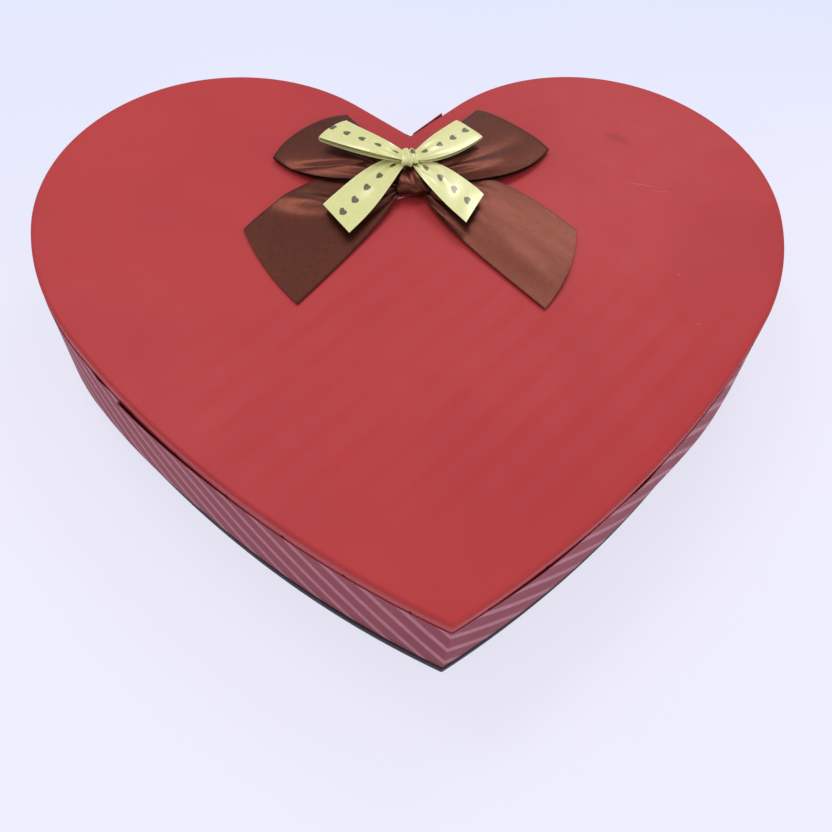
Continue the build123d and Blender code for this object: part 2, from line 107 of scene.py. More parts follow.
class Graph:
    """A material's node tree, with short calls that add nodes and wire them."""

    def __init__(self, name: str) -> None:
        """Start an empty material of that name.

        Args:
            name: the material's name.
        """
        self.material = bpy.data.materials.new(name)
        self.material.use_nodes = True
        self.tree = self.material.node_tree
        self.tree.nodes.clear()
        self.output = self.tree.nodes.new("ShaderNodeOutputMaterial")

    def feed(self, socket: Socket, value: object) -> None:
        """Link a socket to another, or set its constant.

        Args:
            socket: an input.
            value: an output to link, or a constant.
        """
        if isinstance(value, Socket):
            self.tree.links.new(value, socket)
        else:
            socket.default_value = value

    def node(self, kind: str, inputs: dict | None = None, **settings: object) -> bpy.types.Node:
        """Add a node.

        Args:
            kind: the node's type.
            inputs: sockets, by name or number, and what feeds them.
            settings: the node's own properties.

        Returns:
            The new node.
        """
        node = self.tree.nodes.new(kind)
        for key, value in settings.items():
            setattr(node, key, value)
        for key, value in (inputs or {}).items():
            self.feed(node.inputs[key], value)
        return node

    def math(self, operation: str, first: object, second: object = 0.0) -> Socket:
        """Result of a Math node on two values."""
        return self.node("ShaderNodeMath", {0: first, 1: second}, operation=operation).outputs[0]

    def product(self, *factors: object) -> Socket:
        """Product of two or more values.

        Args:
            factors: outputs or constants.

        Returns:
            The product's output.
        """
        total = factors[0]
        for factor in factors[1:]:
            total = self.math("MULTIPLY", total, factor)
        return total

    def place(self) -> Socket:
        """Position in the frame, in metres."""
        return self.node("ShaderNodeTexCoord").outputs["Object"]

    def flat_place(self) -> Socket:
        """Position on the uncut sheet, in metres along and across."""
        return self.node("ShaderNodeTexCoord").outputs["UV"]

    def axes(self, vector: Socket) -> list[Socket]:
        """The three parts of a vector."""
        return list(self.node("ShaderNodeSeparateXYZ", {0: vector}).outputs)

    def mapped(
        self,
        vector: Socket,
        shift: Sequence[float] = (0, 0, 0),
        turn: float = 0.0,
        scale: Sequence[float] = (1, 1, 1),
    ) -> Socket:
        """Position seen from a shifted, turned and stretched place, turned about the up axis."""
        inputs = {"Vector": vector, "Location": shift, "Rotation": (0, 0, turn), "Scale": scale}
        return self.node("ShaderNodeMapping", inputs, vector_type="TEXTURE").outputs[0]

    def noise(
        self, vector: Socket, scale: float, detail: float = 3.0, rough: float = 0.55
    ) -> Socket:
        """Soft noise around one half; scale is in waves for each metre."""
        inputs = {"Vector": vector, "Scale": scale, "Detail": detail, "Roughness": rough}
        return self.node("ShaderNodeTexNoise", inputs).outputs[0]

    def step(self, value: object, low: float, high: float) -> Socket:
        """Smooth rise from 0 at low to 1 at high, or a fall where high is under low."""
        inputs = {"Value": value, "From Min": low, "From Max": high}
        return self.node("ShaderNodeMapRange", inputs, interpolation_type="SMOOTHSTEP").outputs[0]

    def span(self, value: object, low: float, high: float) -> Socket:
        """Noise spread over a range."""
        inputs = {"Value": value, "From Min": 0.25, "From Max": 0.75, "To Min": low, "To Max": high}
        return self.node("ShaderNodeMapRange", inputs).outputs[0]

    def spot(
        self, place: Socket, centre: Point, size: Point, turn: float = 0.0, soft: float = 0.6
    ) -> Socket:
        """Oval mask on the lid's top: 0 at its edge, rising to 1 at a share of the way to its centre.

        Args:
            place: position in the frame.
            centre: the oval's centre, in metres.
            size: its half length and half width.
            turn: its turn about the up axis.
            soft: share of the way in at which it is full.

        Returns:
            A mask, from 0 to 1.
        """
        near = self.mapped(place, shift=(*centre, LID_TOP), turn=turn, scale=(*size, 1))
        ball = self.node("ShaderNodeTexGradient", {0: near}, gradient_type="SPHERICAL").outputs[1]
        return self.step(ball, 0.0, soft)

    def mark(self, name: str) -> Socket:
        """Value that a mesh carries at its points."""
        return self.node("ShaderNodeAttribute", attribute_name=name).outputs["Fac"]

    def mix(self, share: object, first: object, second: object) -> Socket:
        """Colour between two, by a share.

        Args:
            share: share of the second colour.
            first: one colour.
            second: the other.

        Returns:
            The mixed colour.
        """
        node = self.node("ShaderNodeMix", data_type="RGBA")
        for socket, value in ((node.inputs[0], share), (node.inputs[6], first), (node.inputs[7], second)):
            self.feed(socket, value)
        return node.outputs[2]

    def bump(self, height: object, depth: float, normal: object = None) -> Socket:
        """Normal of a surface raised by a height of that depth, in metres.

        Args:
            height: height, from 0 to 1.
            depth: depth of the relief.
            normal: normal to start from.

        Returns:
            The raised surface's normal.
        """
        inputs = {"Height": height, "Distance": depth, "Strength": 1.0}
        if normal is not None:
            inputs["Normal"] = normal
        return self.node("ShaderNodeBump", inputs).outputs[0]

    def shade(self, inputs: dict) -> Material:
        """End the tree in a principled surface with these inputs.

        Args:
            inputs: the surface's sockets and what feeds them.

        Returns:
            The material, ready to use.
        """
        surface = self.node("ShaderNodeBsdfPrincipled", inputs)
        self.tree.links.new(surface.outputs[0], self.output.inputs[0])
        return self.material


@dataclass(frozen=True)
class RedPaper:
    """Smooth red cover paper with a faint sheen, handling marks and rubbed edges, with painted reflection
    bands, a painted highlight along its rolled edge and painted shade in its snips.
    """

    colour: Colour = srgb(188, 58, 60)
    shade: Colour = srgb(182, 54, 57)
    # painted reflection: the darker red of the slanting bands on the lid's lower half
    reflection_tint: Colour = srgb(188, 42, 40)
    # painted shade: the dark of shadowed gaps, put into the snips of the turn-down
    snip: Colour = srgb(70, 18, 22)
    smudge: Colour = srgb(150, 46, 50)
    # pale tone of rubbed wear and of the scratches, also a painted highlight along the rolled edge
    rubbed_and_sheen: Colour = srgb(212, 112, 114)
    roughness: float = 0.5
    sheen: float = 0.22
    reflection_pitch: float = 12 * MM
    reflection_turn: float = math.radians(-47)
    reflection_share: float = 0.55
    smudge_share: float = 0.45
    worn_and_sheen_share: float = 0.1
    mark_share: float = 0.4
    fibre_depth: float = 0.02 * MM
    flow_depth: float = 0.3 * MM

    def reflection_bands(self, graph: Graph, place: Socket) -> Socket:
        """Painted reflection: faint darker slanting bands on the lower half of the lid, where a wavy sheet
        would reflect less light.

        Args:
            graph: the node tree.
            place: position in the frame.

        Returns:
            A mask, from 0 to 1.
        """
        turned = graph.mapped(place, shift=(0.03, -0.05, 0), turn=self.reflection_turn)
        waves = math.pi / 10 / self.reflection_pitch
        inputs = {0: turned, "Scale": waves, "Distortion": 2.2, "Detail": 2.0, "Detail Scale": 0.35}
        bands = graph.step(graph.node("ShaderNodeTexWave", inputs).outputs[1], 0.5, 1.0)
        patchy = graph.span(graph.noise(place, 22, detail=2), 0.2, 1.0)
        inside = graph.spot(place, (0.018, -0.036), (0.125, 0.072), soft=0.45)
        return graph.product(bands, patchy, inside)

    def smudges(self, graph: Graph, place: Socket) -> Socket:
        """A thumb mark on the right lobe.

        Args:
            graph: the node tree.
            place: position in the frame.

        Returns:
            A mask, from 0 to 1.
        """
        wander = graph.noise(place, 90, detail=2)
        thumb = graph.spot(place, (0.088, 0.089), (0.006, 0.013), turn=0.5)
        return graph.product(thumb, graph.step(wander, 0.42, 0.56))

    def marks(self, graph: Graph, place: Socket) -> Socket:
        """Two hair scratches and two pale specks.

        Args:
            graph: the node tree.
            place: position in the frame.

        Returns:
            A mask, from 0 to 1.
        """
        total: object = 0.0
        for centre, size, turn in (
            ((0.094, 0.057), (0.009, 0.0004), -0.25),
            ((0.101, 0.053), (0.007, 0.0003), -0.1),
            ((0.0992, 0.0087), (0.0008, 0.0006), 0.6),
            ((0.1014, -0.015), (0.0009, 0.0005), 0.2),
        ):
            total = graph.math("MAXIMUM", total, graph.spot(place, centre, size, turn, soft=0.7))
        return total

    def material(self) -> Material:
        """The paper's material.

        Returns:
            The material, ready to use.
        """
        graph = Graph("red_cover_paper")
        place = graph.place()
        cloudy = graph.step(graph.noise(place, 16, detail=2), 0.35, 0.7)
        rub_and_sheen = graph.step(graph.noise(place, 700, detail=4), 0.45, 0.75)
        colour = graph.mix(cloudy, self.colour, self.shade)
        for share, tint in (
            # painted reflection bands
            (graph.product(self.reflection_bands(graph, place), self.reflection_share), self.reflection_tint),
            (graph.product(self.smudges(graph, place), self.smudge_share), self.smudge),
            # lighter rolled edge: partly rub wear, partly a painted highlight
            (graph.product(graph.mark("edge"), rub_and_sheen, self.worn_and_sheen_share), self.rubbed_and_sheen),
            (graph.product(self.marks(graph, place), self.mark_share), self.rubbed_and_sheen),
            # painted shade in the snips
            (graph.mark("snip"), self.snip),
        ):
            colour = graph.mix(share, colour, tint)
        fibre = graph.noise(place, 1500, detail=3, rough=0.65)
        flow = graph.noise(place, 24, detail=1)
        normal = graph.bump(fibre, self.fibre_depth, graph.bump(flow, self.flow_depth))
        rough = graph.span(graph.noise(place, 70, detail=2), self.roughness - 0.03, self.roughness + 0.04)
        return graph.shade(
            {"Base Color": colour, "Roughness": rough, "Normal": normal, "Specular IOR Level": self.sheen}
        )


@dataclass(frozen=True)
class StripedPaper:
    """Dusty rose paper printed with pale slanting pinstripes."""

    name: str
    phase: float = 11 * MM
    ground: Colour = srgb(157, 63, 78)
    deep: Colour = srgb(147, 56, 71)
    stripe: Colour = srgb(208, 143, 156)
    pitch: float = 14.4 * MM
    width: float = 4.2 * MM
    blur: float = 0.065
    roughness: float = 0.6
    sheen: float = 0.25
    fibre_depth: float = 0.03 * MM
    buckle_depth: float = 0.5 * MM

    def material(self) -> Material:
        """The strip's material: the stripes run down to the right round the whole box.

        Returns:
            The material, ready to use.
        """
        graph = Graph(self.name)
        place = graph.place()
        along, high, _ = graph.axes(graph.flat_place())
        wander = graph.span(graph.noise(place, 120, detail=2), -0.012, 0.012)
        slant = graph.math("SUBTRACT", graph.math("ADD", along, high), self.phase)
        turns = graph.math("ADD", graph.math("DIVIDE", slant, self.pitch), 0.5)
        wave = graph.math("ABSOLUTE", graph.math("SUBTRACT", graph.math("FRACT", turns), 0.5))
        half = self.width / self.pitch / 2
        band = graph.step(graph.math("ADD", wave, wander), half + self.blur, half - self.blur)
        cloudy = graph.step(graph.noise(place, 30, detail=3), 0.35, 0.68)
        ground = graph.mix(cloudy, self.ground, self.deep)
        faded = graph.span(graph.noise(place, 400, detail=3), 0.5, 0.85)
        colour = graph.mix(graph.product(band, faded), ground, self.stripe)
        fibre = graph.noise(place, 1400, detail=4, rough=0.7)
        buckle = graph.noise(place, 45, detail=1)
        normal = graph.bump(fibre, self.fibre_depth, graph.bump(buckle, self.buckle_depth))
        return graph.shade(
            {
                "Base Color": colour,
                "Roughness": self.roughness,
                "Normal": normal,
                "Specular IOR Level": self.sheen,
            }
        )


@dataclass(frozen=True)
class PlainPaper:
    """Plain paper with fibres, and scuffs of another tone."""

    name: str
    colour: Colour
    fleck: Colour
    scuff: Colour
    roughness: float
    fibres: float = 900.0
    fibre_depth: float = 0.05 * MM
    scuff_share: float = 0.35
    uneven: float = 0.06

    def material(self) -> Material:
        """The paper's material.

        Returns:
            The material, ready to use.
        """
        graph = Graph(self.name)
        place = graph.place()
        stretched = graph.mapped(place, turn=0.6, scale=(2.6, 1, 1))
        fibre = graph.noise(stretched, self.fibres, detail=4, rough=0.7)
        colour = graph.mix(graph.step(fibre, 0.5, 0.68), self.colour, self.fleck)
        scuffs = graph.step(graph.noise(place, 85, detail=5, rough=0.7), 0.6, 0.72)
        colour = graph.mix(graph.product(scuffs, self.scuff_share), colour, self.scuff)
        patchy = graph.noise(place, 60, detail=2)
        rough = graph.span(patchy, self.roughness - self.uneven, self.roughness + self.uneven)
        normal = graph.bump(fibre, self.fibre_depth)
        return graph.shade({"Base Color": colour, "Roughness": rough, "Normal": normal})


@dataclass(frozen=True)
class Satin:
    """Woven satin ribbon: long floats along it, selvedges, and a printed motif where it has one."""

    name: str
    colour: Colour
    shade: Colour
    edge: Colour
    width: float
    roughness: float
    metallic: float
    gloss: float
    motif: Colour | None = None
    motif_pitch: float = 7.5 * MM
    motif_size: float = 2.9 * MM
    thread: float = 0.28 * MM
    thread_depth: float = 0.05 * MM
    selvedge_from: float = 0.9 * MM
    selvedge_full: float = 0.5 * MM

    def hearts(
        self, graph: Graph, along: Socket, across: Socket
    ) -> Socket:
        """Row of small printed hearts along the ribbon's middle, as a mask.

        Args:
            graph: the node tree.
            along: distance along the ribbon.
            across: distance across it.

        Returns:
            A mask, from 0 to 1.
        """
        cell = graph.math("FRACT", graph.math("DIVIDE", along, self.motif_pitch))
        reach = self.motif_size / 2
        up = graph.product(graph.math("SUBTRACT", cell, 0.5), self.motif_pitch / reach)
        side = graph.math("DIVIDE", graph.math("SUBTRACT", across, self.width / 2), reach)
        wide = graph.product(side, side)
        body = graph.math("SUBTRACT", graph.math("ADD", wide, graph.product(up, up)), 1.0)
        cube = graph.product(body, body, body)
        shape = graph.math("SUBTRACT", cube, graph.product(wide, up, up, up))
        return graph.step(shape, 0.03, -0.03)

    def material(self) -> Material:
        """The ribbon's material.

        Returns:
            The material, ready to use.
        """
        graph = Graph(self.name)
        flat = graph.flat_place()
        along, across, _ = graph.axes(flat)
        threads = graph.mapped(flat, scale=(self.thread * 12, self.thread, 1))
        weave = graph.noise(threads, 1.0, detail=2, rough=0.6)
        slub = graph.noise(graph.mapped(flat, scale=(0.02, 0.004, 1)), 1.0, detail=2)
        colour = graph.mix(graph.step(weave, 0.4, 0.7), self.colour, self.shade)
        colour = graph.mix(graph.product(graph.step(slub, 0.45, 0.75), 0.2), colour, self.shade)
        half = self.width / 2
        middle = graph.math("ABSOLUTE", graph.math("SUBTRACT", across, half))
        selvedge = graph.step(middle, half - self.selvedge_from, half - self.selvedge_full)
        colour = graph.mix(graph.product(selvedge, 0.6), colour, self.edge)
        if self.motif:
            print_share = graph.product(self.hearts(graph, along, across), 0.9)
            colour = graph.mix(print_share, colour, self.motif)
        relief = graph.math("ADD", weave, graph.product(selvedge, 0.8))
        tangent = graph.node("ShaderNodeTangent", direction_type="UV_MAP", uv_map="UVMap").outputs[0]
        rough = graph.span(slub, self.roughness - 0.02, self.roughness + 0.02)
        return graph.shade(
            {
                "Base Color": colour,
                "Roughness": rough,
                "Metallic": self.metallic,
                "Anisotropic": 0.7,
                "Anisotropic Rotation": 0.25,
                "Tangent": tangent,
                "Normal": graph.bump(relief, self.thread_depth),
                "Coat Weight": self.gloss,
                "Coat Roughness": 0.22,
            }
        )


@dataclass(frozen=True)
class HotGlue:
    """Clear glue that takes the colour of the red paper under it, with a wet gloss."""

    colour: Colour = srgb(166, 74, 70)
    cloud: Colour = srgb(186, 110, 102)

    def material(self) -> Material:
        """The glue's material.

        Returns:
            The material, ready to use.
        """
        graph = Graph("hot_glue_bead")
        cloud = graph.noise(graph.place(), 500, detail=3)
        colour = graph.mix(graph.step(cloud, 0.45, 0.7), self.colour, self.cloud)
        return graph.shade(
            {
                "Base Color": colour,
                "Roughness": 0.1,
                "Transmission Weight": 0.2,
                "IOR": 1.48,
                "Coat Weight": 1.0,
                "Coat Roughness": 0.04,
                "Normal": graph.bump(cloud, 0.05 * MM),
            }
        )


@dataclass(frozen=True)
class StudioFloor:
    """Pale seamless floor, partly self-lit to the eye so that shadows on it stay faint."""

    near: Colour = srgb(242, 241, 255)
    far: Colour = srgb(229, 233, 254)
    self_lit: float = 0.78

    def material(self) -> Material:
        """The floor's material.

        Returns:
            The material, ready to use.
        """
        graph = Graph("studio_floor")
        place = graph.place()
        drift = graph.span(graph.noise(place, 3, detail=1), -0.06, 0.06)
        away = graph.math("ADD", graph.axes(place)[1], drift)
        colour = graph.mix(graph.step(away, -0.05, 0.3), self.near, self.far)
        paper = graph.node("ShaderNodeBsdfDiffuse", {0: colour}).outputs[0]
        glow = graph.node("ShaderNodeEmission", {0: colour, 1: 1.0}).outputs[0]
        rays = graph.node("ShaderNodeLightPath").outputs
        seen = graph.math("MAXIMUM", rays["Is Camera Ray"], rays["Is Glossy Ray"])
        seen = graph.math("MAXIMUM", seen, rays["Is Transmission Ray"])
        share = graph.math("MULTIPLY", seen, self.self_lit)
        blend = graph.node("ShaderNodeMixShader", {0: share, 1: paper, 2: glow})
        graph.tree.links.new(blend.outputs[0], graph.output.inputs[0])
        return graph.material


def make_object(
    name: str, points: np.ndarray, faces: list, material: Material, flat: np.ndarray | None = None
) -> Piece:
    """Mesh object with smooth faces and an optional flat place for each point.

    Args:
        name: the piece's name.
        points: its corners, one row each.
        faces: corner numbers of each face.
        material: its finish.
        flat: each corner's place on the flat sheet, in metres.

    Returns:
        The new object, in the scene.
    """
    mesh = bpy.data.meshes.new(name)
    mesh.from_pydata(points.tolist(), [], faces)
    if flat is not None:
        corners = np.zeros(len(mesh.loops), np.int32)
        mesh.loops.foreach_get("vertex_index", corners)
        layer = mesh.uv_layers.new(name="UVMap")
        layer.data.foreach_set("uv", flat[corners].astype(np.float32).ravel())
    mesh.polygons.foreach_set("use_smooth", np.ones(len(mesh.polygons), bool))
    mesh.set_sharp_from_angle(angle=math.radians(50))
    mesh.materials.append(material)
    mesh.validate()
    piece = bpy.data.objects.new(name, mesh)
    bpy.context.scene.collection.objects.link(piece)
    return piece


def stand_for(piece: Piece, body: Body, node: str) -> None:
    """Ride a piece on its body, in place of its plain solid.

    Args:
        piece: the dressed piece.
        body: what it rides on.
        node: the solid that it stands for.
    """
    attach(piece, body.value)
    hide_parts(node)
    LOG.info("%s rides on %s for %s", piece.name, body.value, node)


def grid_faces(
    rows: int, columns: int, first: int = 0, flip: bool = False, round_rows: bool = False
) -> list[list[int]]:
    """Faces of a grid of points, row after row.

    Args:
        rows: number of rows.
        columns: points in each row.
        first: number of the grid's first point.
        flip: turn the faces over.
        round_rows: join the last row to the first.

    Returns:
        Corner numbers of the faces.
    """
    faces = []
    for row in range(rows if round_rows else rows - 1):
        below = (row + 1) % rows
        for column in range(columns - 1):
            here, there = first + row * columns + column, first + below * columns + column
            face = [here, there, there + 1, here + 1]
            faces.append(face[::-1] if flip else face)
    return faces


def thick_sheet(
    name: str, grid: np.ndarray, flat: np.ndarray, thickness: float, material: Material
) -> Piece:
    """Closed sheet of even thickness about a grid of points.

    Args:
        name: the piece's name.
        grid: points along and across the sheet, of shape (rows, columns, 3).
        flat: their places on the flat sheet, of shape (rows, columns, 2).
        thickness: between its two faces.
        material: its finish.

    Returns:
        The new object.
    """
    rows, columns, _ = grid.shape
    normal = np.cross(np.gradient(grid, axis=0), np.gradient(grid, axis=1))
    normal /= np.linalg.norm(normal, axis=2, keepdims=True)
    over = (grid + normal * thickness / 2).reshape(-1, 3)
    under = (grid - normal * thickness / 2).reshape(-1, 3)
    count = rows * columns
    faces = grid_faces(rows, columns) + grid_faces(rows, columns, count, flip=True)
    top = list(range(columns))
    bottom = [(rows - 1) * columns + column for column in range(columns)]
    left = [row * columns for row in range(rows)]
    right = [row * columns + columns - 1 for row in range(rows)]
    for edge, flip in ((top, False), (bottom, True), (left, True), (right, False)):
        for here, there in zip(edge, edge[1:]):
            face = [here, there, there + count, here + count]
            faces.append(face[::-1] if flip else face)
    places = np.tile(flat.reshape(-1, 2), (2, 1))
    return make_object(name, np.vstack([over, under]), faces, material, places)


@dataclass(frozen=True)
class HeartPlan:
    """The box's heart in plan: each half a crown arc, a slower side arc, a long flank and a straight cleft.

    The skirt leans in from the lid's top to the table. Places along the outline are measured at its
    outside from the point: plus on the right and minus on the left, up to the half's length at the cleft.
    """

    lobe_spacing: float = 145 * MM
    crown_radius: float = 77.5 * MM
    side_radius: float = 115 * MM
    side_turn: float = math.radians(8)
    flank_radius: float = 400 * MM
    depth: float = 252 * MM
    cleft_slope: float = math.radians(41.5)
    tip_round: float = 1.3 * MM
    cleft_round: float = 0.8 * MM
    height: float = LID_TOP
    lean: float = 0.8 * MM
    fine: int = 160

    def leaned(self, inset: float, z: float) -> float:
        """Inset at a height of something that leans with the skirt."""
        return inset + self.lean * (1 - z / self.height)

    def half(self, inset: float) -> tuple[np.ndarray, np.ndarray]:
        """Points and outward normals of the right half, from the point round to the cleft.

        Args:
            inset: how far inside the outline.

        Returns:
            Points and normals, one row each, in step for every inset.
        """
        crown = np.array([self.lobe_spacing / 2, self.depth / 2 - self.crown_radius])
        outward = np.array([math.cos(self.side_turn), -math.sin(self.side_turn)])
        side = crown - (self.side_radius - self.crown_radius) * outward
        tip = np.array([0, -self.depth / 2])
        to_side = side - tip
        span = float(np.linalg.norm(to_side))
        reach = self.flank_radius - self.side_radius
        turn = math.acos((span**2 + self.flank_radius**2 - reach**2) / (2 * span * self.flank_radius))
        heading = math.atan2(to_side[1], to_side[0]) + turn
        flank = tip + self.flank_radius * np.array([math.cos(heading), math.sin(heading)])
        joint = math.atan2(*(side - flank)[::-1])
        nose = max(self.tip_round - inset, 0.02 * MM)
        drop = math.sqrt((self.flank_radius - inset - nose) ** 2 - flank[0] ** 2)
        nose_centre = np.array([0, flank[1] - drop])
        nose_end = math.atan2(-drop, -flank[0])
        slope = math.pi / 2 + self.cleft_slope
        fold = max(self.cleft_round + inset, 0.02 * MM)
        rise = self.crown_radius / math.cos(self.cleft_slope) - crown[0] * math.tan(self.cleft_slope)
        fold_centre = np.array([0, crown[1] + rise + self.cleft_round / math.cos(self.cleft_slope)])
        arcs = (
            (nose_centre, nose, -math.pi / 2, nose_end, 7),
            (flank, self.flank_radius - inset, nose_end, joint, self.fine),
            (side, self.side_radius - inset, joint, -self.side_turn, self.fine // 3),
            (crown, self.crown_radius - inset, -self.side_turn, slope, self.fine),
            (fold_centre, -fold, slope, math.pi / 2, 7),
        )
        points, normals = [], []
        for centre, radius, first, last, count in arcs:
            angle = np.linspace(first, last, count)
            normal = np.stack([np.cos(angle), np.sin(angle)], axis=1)
            points.append(centre + radius * normal)
            normals.append(normal)
        return np.vstack(points), np.vstack(normals)

    def lengths(self) -> np.ndarray:
        """Distance from the point of each place that half() gives, along the outside."""
        return run_along(self.half(0.0)[0])

    def at(self, places: np.ndarray, inset: float) -> tuple[np.ndarray, np.ndarray]:
        """Points and outward normals at places along the outline.

        Args:
            places: signed distances from the point; past the cleft they run on down the other half.
            inset: how far inside the outline.

        Returns:
            Points and unit normals, one row each.
        """
        lengths = self.lengths()
        whole = lengths[-1]
        wrapped = (places + whole) % (2 * whole) - whole
        points, normals = self.half(inset)
        side = np.where(wrapped < 0, -1.0, 1.0)
        spots = [np.interp(np.abs(wrapped), lengths, column) for column in (*points.T, *normals.T)]
        point = np.stack([spots[0] * side, spots[1]], axis=1)
        normal = np.stack([spots[2] * side, spots[3]], axis=1)
        return point, normal / np.linalg.norm(normal, axis=1, keepdims=True)

    def round_trip(self, step: float) -> np.ndarray:
        """Places all the way round, closer together at the point and the cleft.

        Args:
            step: distance between places on the even stretches.

        Returns:
            Signed places, in order.
        """
        whole = self.lengths()[-1]
        corner = np.linspace(-3 * MM, 3 * MM, 13)
        even = np.arange(step, whole - step, step)
        places = np.concatenate([-even, even, corner, whole + corner[:6], -whole - corner[7:], [whole]])
        return np.unique(np.round(np.clip(places, -whole + 0.01 * MM, whole), 6))


@dataclass(frozen=True)
class Lift:
    """A stretch of a strip's top edge that has come away: it opens from start to stop, and may end square."""

    start: float
    stop: float
    height: float
    square: bool = False

    def at(self, places: np.ndarray) -> np.ndarray:
        """How far the edge stands out at places along the outline.

        Args:
            places: signed places along the outline.

        Returns:
            Distances from the lid.
        """
        share = (places - self.start) / (self.stop - self.start)
        if self.square:
            return np.where(share <= 1, self.height * smooth(share) ** 1.6, 0.0)
        return self.height * smooth(share * 2) * smooth(2 - share * 2)


class Turn(NamedTuple):
    """A corner of a wrapped sheet's profile: inset, height, and shares of the puff and the snips."""

    inset: float
    z: float
    puff: float = 0.0
    snip: float = 0.0


class StripTurn(NamedTuple):
    """A corner of a strip's profile: inset, height as a share or in metres, and share of the lift."""

    inset: float
    share: float = 0.0
    up: float = 0.0
    stand: float = 0.0


